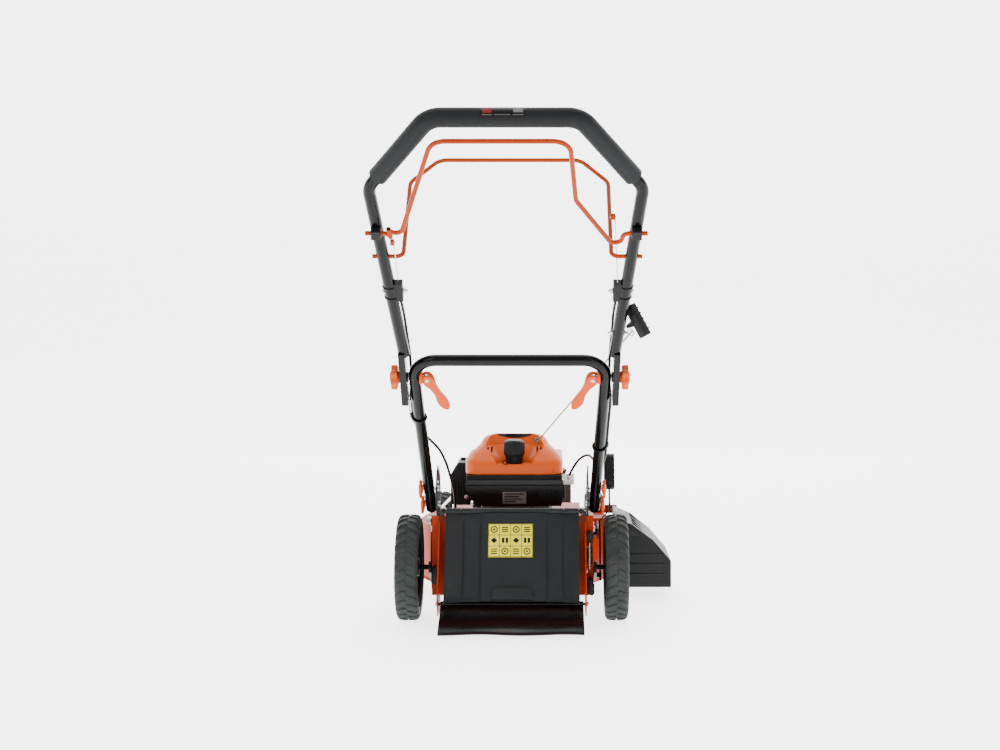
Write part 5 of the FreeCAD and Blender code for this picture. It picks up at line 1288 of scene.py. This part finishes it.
@dataclass
class Deck(Assembly):
    """Deck shell with its lip, flaps, deflector, chute and height adjustment, in millimetres."""

    bowl_y: float = 325.0
    hinge_radius: float = 6.8
    flap_wall: float = 2.2
    shield_half: float = 161.0
    shield_wall: float = 2.6

    def build(self) -> None:
        """Makes the sub-assembly's pieces."""
        self.dress(Look.ORANGE_PAINT, "deck_shell", bevel=1.2)
        self.dress(Look.BLACK_PLASTIC, "discharge_chute", "axle_bushes", bevel=0.6)
        self.dress(Look.BLACK_PAINT, "hinge_rods")
        self.dress(Look.ZINC, "height_link")
        self.dress(Look.BLACK_PAINT, "height_quadrant", bevel=0.4)
        self.dress(Look.BLACK_PLASTIC, "height_lever", bevel=1.2)
        self.dress(Look.BLACK_PLASTIC, "side_deflector", bevel=2.0)
        self.flap()
        self.label()
        self.shield()
        self.deflector()
        self.trim()

    def flap(self) -> None:
        """Folded plastic flap with side flanges, hinge sleeves and a raised foot."""
        profile = [(-152, 15), (-152, 1), (-149, -1), (-112, -1), (-107, -5), (-74, -5), (-68, -10), (76, -10),
                   (82, -5), (112, -5), (117, -1), (149, -1), (152, 1), (152, 15)]
        rows = []
        for down in (4, 9, 16, 60, 110, 160, 196, 203, 209, 214):
            lift = 0.0 if down > 10 else 1.0 - (down - 4) / 6
            lip = max(0.0, (down - 196) / 18)
            rows.append([(x, down, z * (1 - 0.8 * lift) - 5 * lip ** 2) for x, z in profile])
        flap = Form(FLAP).sheet(rows, self.flap_wall)
        flap.prism([(-40, 184), (42, 184), (49, 211), (-47, 211)], -16.5, -9.5, "z", bevel=2.2, segments=3)
        for start, end in ((-151, -118), (-116, 116), (118, 151)):
            flap.rod((start, 0, 0), (end, 0, 0), self.hinge_radius, sides=28, bevel=0.8)
        self.keep(flap.done("flap_skin", Look.GREY_PLASTIC, "flap", "black_plastic", ["rear_flap"]))
        springs = Form(FLAP)
        for start in (-159, 153):
            coil = [Vector((start + k * 0.06, 5.6 * math.cos(k * 0.62), 5.6 * math.sin(k * 0.62))) for k in range(96)]
            springs.sweep(coil, 0.8, 6)
        self.keep(springs.done("flap_springs", Look.BLACK_PAINT, "flap", "steel"))

    def label(self) -> None:
        """Plain yellow panel with a grid of generic dark marks."""
        panel = Form(FLAP).box((-54, 34, -11.4), (47, 113, -10.6), 0.3)
        self.keep(panel.done("flap_label", Look.YELLOW, "flap"))
        marks = Form(FLAP)
        for k in range(5):
            x = -53.2 + k * 24.85
            marks.box((x - 0.5, 35, -11.9), (x + 0.5, 112, -11.3))
        for y in (35, 61, 87, 112):
            marks.box((-53.6, y - 0.5, -11.9), (46.6, y + 0.5, -11.3))
        for row in range(3):
            for column in range(4):
                x = -40.8 + column * 24.85
                y = 48 + row * 25.6
                kind = (row * 3 + column * 2) % 4
                if kind == 0:
                    marks.lathe((x, y, -11.6), (0, 0, 1), [(-0.3, 5.6), (-0.3, 8), (0.3, 8), (0.3, 5.6)], 28)
                    marks.rod((x, y, -11.9), (x, y, -11.3), 2.4, sides=20)
                elif kind == 1:
                    marks.box((x - 7, y - 6, -11.9), (x - 1.4, y + 6, -11.3))
                    marks.box((x + 1.4, y - 6, -11.9), (x + 7, y + 6, -11.3))
                elif kind == 2:
                    for step in (-5, 0, 5):
                        marks.box((x - 7, y + step - 1.2, -11.9), (x + 7, y + step + 1.2, -11.3))
                else:
                    marks.prism([(x, y - 7), (x + 7.5, y), (x, y + 7), (x - 7.5, y)], -11.9, -11.3)
        self.keep(marks.done("flap_label_marks", Look.INK, "flap"))

    def shield(self) -> None:
        """Heavy rubber sheet with a rippled run and a curled lower edge."""
        rows = []
        for a in range(23):
            down = 5 + 125 * a / 22
            row = []
            for b in range(33):
                x = -self.shield_half + 2 * self.shield_half * b / 32
                ripple = 1.8 * math.sin(down / 13) + 1.4 * math.sin(x / 30 + down / 34) * (down / 130)
                curl = 4.0 * max(0.0, (down - 116) / 14) ** 2
                row.append((x, down, 1.0 - ripple - curl + 3.0 * (down / 130)))
            rows.append(row)
        sheet = Form(SHIELD).sheet(rows, self.shield_wall)
        sheet.rod((-self.shield_half, 0, 0), (self.shield_half, 0, 0), self.hinge_radius, sides=28, bevel=0.8)
        bead = [Vector((-self.shield_half + 2 * self.shield_half * k / 24, 8, -4.6)) for k in range(25)]
        sheet.sweep(bead, 2.6, 12)
        self.keep(sheet.done("shield_sheet", Look.RUBBER, "shield", "rubber", ["trailing_shield"]))

    def deflector(self) -> None:
        """Ribs, hinge ears and a spring on the side deflector."""
        ribs = Form()
        for y in (248, 290, 332, 374, 404):
            ribs.prism([(288, 182.6), (334, 144.0), (379.0, 95.0), (379.0, 91.0), (333, 139.0), (287, 177.0)],
                       y - 2.2, y + 2.2, "y", bevel=0.8)
        for z in (60, 84, 108):
            ribs.box((268, 220.4, z - 2), (366, 222.6, z + 2), 0.8)
        ribs.box((247, 219.6, 32), (252, 222.8, 176), 0.8)
        ribs.prism([(252, 182), (286, 178), (300, 160), (296, 154), (252, 158)], 219.8, 222.8, "y", bevel=1.0)
        self.keep(ribs.done("deflector_ribs", Look.BLACK_PLASTIC, "deflector", "black_plastic"))
        coil = [Vector((250 + 5.4 * math.cos(k * 0.6), 300 + k * 0.36, 190 + 5.4 * math.sin(k * 0.6)))
                for k in range(110)]
        spring = Form().sweep(coil, 0.8, 6)
        for y in (213, 424):
            spring.rod((250, y, 190), (250, y + (3 if y > 300 else -3), 190), 6, sides=20, bevel=0.4)
        self.keep(spring.done("deflector_spring", Look.ZINC, "chassis", "steel"))

    def trim(self) -> None:
        """Rolled lip, bolts, latch, spring and brackets beside the rear wheels."""
        lip = Form()
        spots = [Vector((235 * math.cos(t), self.bowl_y + 235 * math.sin(t), 46.5))
                 for t in (math.radians(a) for a in range(-20, 34, 4))]
        lip.sweep(spots, 2.0, 8)
        for start, end in ((118, 146), (164, 218)):
            arc = [Vector((236 * math.cos(t), self.bowl_y + 236 * math.sin(t), 47)) for t in
                   (math.radians(start + (end - start) * k / 10) for k in range(11))]
            lip.sweep(arc, 2.0, 8)
        self.keep(lip.done("deck_lip", Look.ORANGE_PAINT, "chassis", "orange_paint"))
        bolts = Form()
        for side in (-1, 1):
            for y, z in ((8, 206), (74, 206), (30, 70), (96, 84)):
                bolts.hexagon((side * 185, y, z), (side * 189, y, z), 11)
                bolts.rod((side * 185, y, z), (side * 186, y, z), 8, sides=24)
            bolts.rod((side * 168.5, -44, 120), (side * 170.5, -44, 120), 5, sides=20, bevel=0.4)
            bolts.rod((side * 168.5, -72, 50), (side * 173, -72, 50), 5, sides=20, bevel=0.5)
        coil = [Vector((176 + 5.2 * math.cos(k * 0.55), -22 + 5.2 * math.sin(k * 0.55), 128 + k * 0.22))
                for k in range(190)]
        bolts.sweep(coil, 0.9, 6)
        bolts.rod((176, -22, 118), (176, -22, 130), 1.6, sides=12)
        bolts.rod((176, -22, 168), (176, -22, 184), 1.6, sides=12)
        self.keep(bolts.done("deck_bolts", Look.ZINC, "chassis", "steel"))
        black = Form()
        black.prism([(171, 100), (184, 96), (188, 66), (181, 60), (171, 66)], -34, -18, "y", bevel=1.6)
        black.prism([(-171, 128), (-184, 122), (-186, 88), (-171, 84)], -32, -18, "y", bevel=1.6)
        black.rod((176, -30, 196), (176, -16, 196), 9, sides=28, bevel=1.0)
        black.box((171, -26, 180), (182, -18, 192), 1.2)
        for side in (-1, 1):
            hub = [(17, 6.6), (17, 16), (21, 14), (23, 10), (23, 6.6)]
            black.lathe((side * 168.2, 62, 90), (side, 0, 0), hub, 36)
        self.keep(black.done("deck_blocks", Look.BLACK_PLASTIC, "chassis", "black_plastic"))


@dataclass(frozen=True)
class WheelSize:
    """Sizes of one pair of wheels, in millimetres.

    Args:
        inner: the right wheel's centre on its inner face.
        radius: the tyre's radius.
        width: the tyre's width.
        rim: the rim's radius.
        lugs: lugs round each half of the tread.
    """

    inner: Point
    radius: float
    width: float
    rim: float
    lugs: int


@dataclass
class Wheels(Assembly):
    """Four wheels with lugged tyres, ribbed rims and hub caps, and their axles."""

    rear: WheelSize = WheelSize((211, 0, 120), 120.0, 52.0, 90.0, 30)
    front: WheelSize = WheelSize((179, 620, 101.5), 101.5, 48.0, 74.0, 26)
    ribs: int = 10

    def build(self) -> None:
        """Makes the sub-assembly's pieces."""
        self.dress(Look.BLACK_PAINT, "rear_axle", "front_axle", bevel=0.5)
        for word, side in SIDES.items():
            self.wheel("rear", word, side, self.rear)
            self.wheel("front", word, side, self.front)

    def wheel(self, name: str, word: str, side: int, size: WheelSize) -> None:
        """One wheel.

        Args:
            name: rear or front.
            word: left or right.
            side: the sign of X.
            size: the pair's sizes.
        """
        radius, width, rim = size.radius, size.width, size.rim
        body = f"{name}_wheel_{word}"
        self.dress(Look.RIM, f"{name}_rim_{word}", bevel=0.8)
        origin = Vector((side * size.inner[0], size.inner[1], size.inner[2]))
        axis = Vector((side, 0, 0))
        section = [(1.6, rim), (0.6, rim + 3), (0, rim + 8), (0, radius - 13), (3, radius - 8), (8, radius - 4.4),
                   (width * 0.3, radius - 3.2), (width * 0.7, radius - 3.2), (width - 8, radius - 4.4),
                   (width - 3, radius - 8), (width, radius - 13), (width, rim + 8), (width - 0.6, rim + 3),
                   (width - 1.6, rim)]
        tyre = Form().lathe(origin, axis, section, 96)
        for half in (0, 1):
            for k in range(size.lugs):
                self.lug(tyre, origin, side, radius, width, 2 * math.pi * (k + half / 2) / size.lugs, half)
        self.keep(tyre.done(f"{name}_tread_{word}", Look.TYRE, body, "tyre", [f"{name}_tyre_{word}"]))
        trim = Form()
        outer = origin + axis * width * 0.64
        for k in range(self.ribs):
            turn = 2 * math.pi * k / self.ribs
            spoke = Vector((0, math.cos(turn), math.sin(turn)))
            middle = outer + spoke * (rim * 0.52)
            low = Vector((-3, -2.4, -rim * 0.30))
            trim.box(middle + low, middle - low, 0.8, Matrix.Rotation(turn - math.pi / 2, 4, "X"))
        cap = [(width * 0.3, 0), (width * 0.3, 12), (width * 0.32, 21), (width * 0.34, 22), (width * 0.355, 19),
               (width * 0.36, 0)]
        trim.lathe(origin + axis * width * 0.61, axis, cap, 40)
        self.keep(trim.done(f"{name}_wheel_ribs_{word}", Look.RIM, body, "rim_plastic"))

    @staticmethod
    def lug(tyre: Form, origin: Vector, side: int, radius: float, width: float, turn: float, half: int) -> None:
        """Adds one slanting lug from the tread's middle over its shoulder.

        Args:
            tyre: the tyre's form.
            origin: the wheel's centre on its inner face.
            side: the sign of X.
            radius: the tyre's radius.
            width: the tyre's width.
            turn: where the lug stands round the tread, in radians.
            half: 0 for the inner half, 1 for the outer.
        """
        pitch = 0.075
        near = width * (0.53 if half else 0.47)
        far = width * (1.0 if half else 0.0)
        rings = []
        drops = ((0.0, 0.0, 5.0), (0.35, 0.0, 5.0), (0.70, 1.2, 6.0), (0.90, 5.0, 9.5), (1.0, 10.5, 14.0))
        for share, top, bottom in drops:
            x = side * (near + (far - near) * share)
            lean = turn + 0.13 * share * share
            ring = []
            foot, crown = pitch * 1.08, pitch * 0.86
            for drop, spread in ((bottom, foot), (top, crown), (top, -crown), (bottom, -foot)):
                angle = lean + spread * 0.62
                reach = radius - drop
                ring.append((origin.x + x, origin.y + reach * math.cos(angle), origin.z + reach * math.sin(angle)))
            rings.append(ring)
        tyre.loft(rings, bevel=0.7, segments=1)


@dataclass
class Studio:
    """Floor, light and camera."""

    def build(self) -> None:
        """Makes the studio."""
        self.floor()
        self.world()
        self.lights()
        self.camera()

    @staticmethod
    def floor() -> None:
        """Pale floor that curves up into a backdrop."""
        profile = [(-9.0, 0.0), (3.0, 0.0)]
        profile += [(3.0 + 2 * math.sin(t), 2 - 2 * math.cos(t))
                    for t in (math.pi / 2 * k / 16 for k in range(1, 17))]
        profile.append((5.0, 9.0))
        data = bpy.data.meshes.new("studio_floor")
        verts = [(x, y, z - 0.0005) for y, z in profile for x in (-14, 14)]
        data.from_pydata(verts, [], [(2 * i, 2 * i + 1, 2 * i + 3, 2 * i + 2) for i in range(len(profile) - 1)])
        data.polygons.foreach_set("use_smooth", [True] * len(data.polygons))
        data.materials.append(PAINT.of(Look.FLOOR))
        item = bpy.data.objects.new("studio_floor", data)
        bpy.context.scene.collection.objects.link(item)

    @staticmethod
    def world() -> None:
        """Even white surroundings."""
        world = bpy.data.worlds.new("studio")
        world.use_nodes = True
        back = world.node_tree.nodes["Background"]
        back.inputs["Color"].default_value = (1.0, 1.0, 1.0, 1)
        back.inputs["Strength"].default_value = 0.75
        bpy.context.scene.world = world

    @staticmethod
    def lights() -> None:
        """Large soft lights above, left and right."""
        plans = (("key", (-2.2, -3.2, 3.0), 2.2, 70.0), ("fill", (2.6, -2.8, 1.8), 2.4, 45.0),
                 ("top", (0.0, 0.3, 3.6), 2.6, 70.0), ("rim", (0.4, 3.4, 2.6), 2.2, 40.0))
        for name, spot, wide, power in plans:
            data = bpy.data.lights.new(name, "AREA")
            data.shape = "SQUARE"
            data.size = wide
            data.energy = power
            item = bpy.data.objects.new(name, data)
            item.location = spot
            item.rotation_euler = (Vector((0, 0, 0.5)) - Vector(spot)).to_track_quat("-Z", "Y").to_euler()
            bpy.context.scene.collection.objects.link(item)

    @staticmethod
    def camera() -> None:
        """Camera behind the mower, at standing height."""
        data = bpy.data.cameras.new("camera")
        data.lens = 57.96
        data.sensor_width = 36.0
        data.shift_x = -0.048
        data.shift_y = -0.117
        item = bpy.data.objects.new("camera", data)
        item.location = MOWER @ Vector((81, -3700, 830))
        item.rotation_euler = (math.pi / 2, 0, 0)
        bpy.context.scene.collection.objects.link(item)
        bpy.context.scene.camera = item


def main() -> None:
    logging.basicConfig(level=logging.INFO)
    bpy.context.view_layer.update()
    for kind in (Handle, Controls, Engine, Deck, Wheels):
        assembly = kind(frame)
        assembly.build()
        LOG.info("%s: %d pieces", kind.__name__, len(assembly.made))
    Studio().build()


if __name__ == "__main__":
    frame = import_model()
    main()
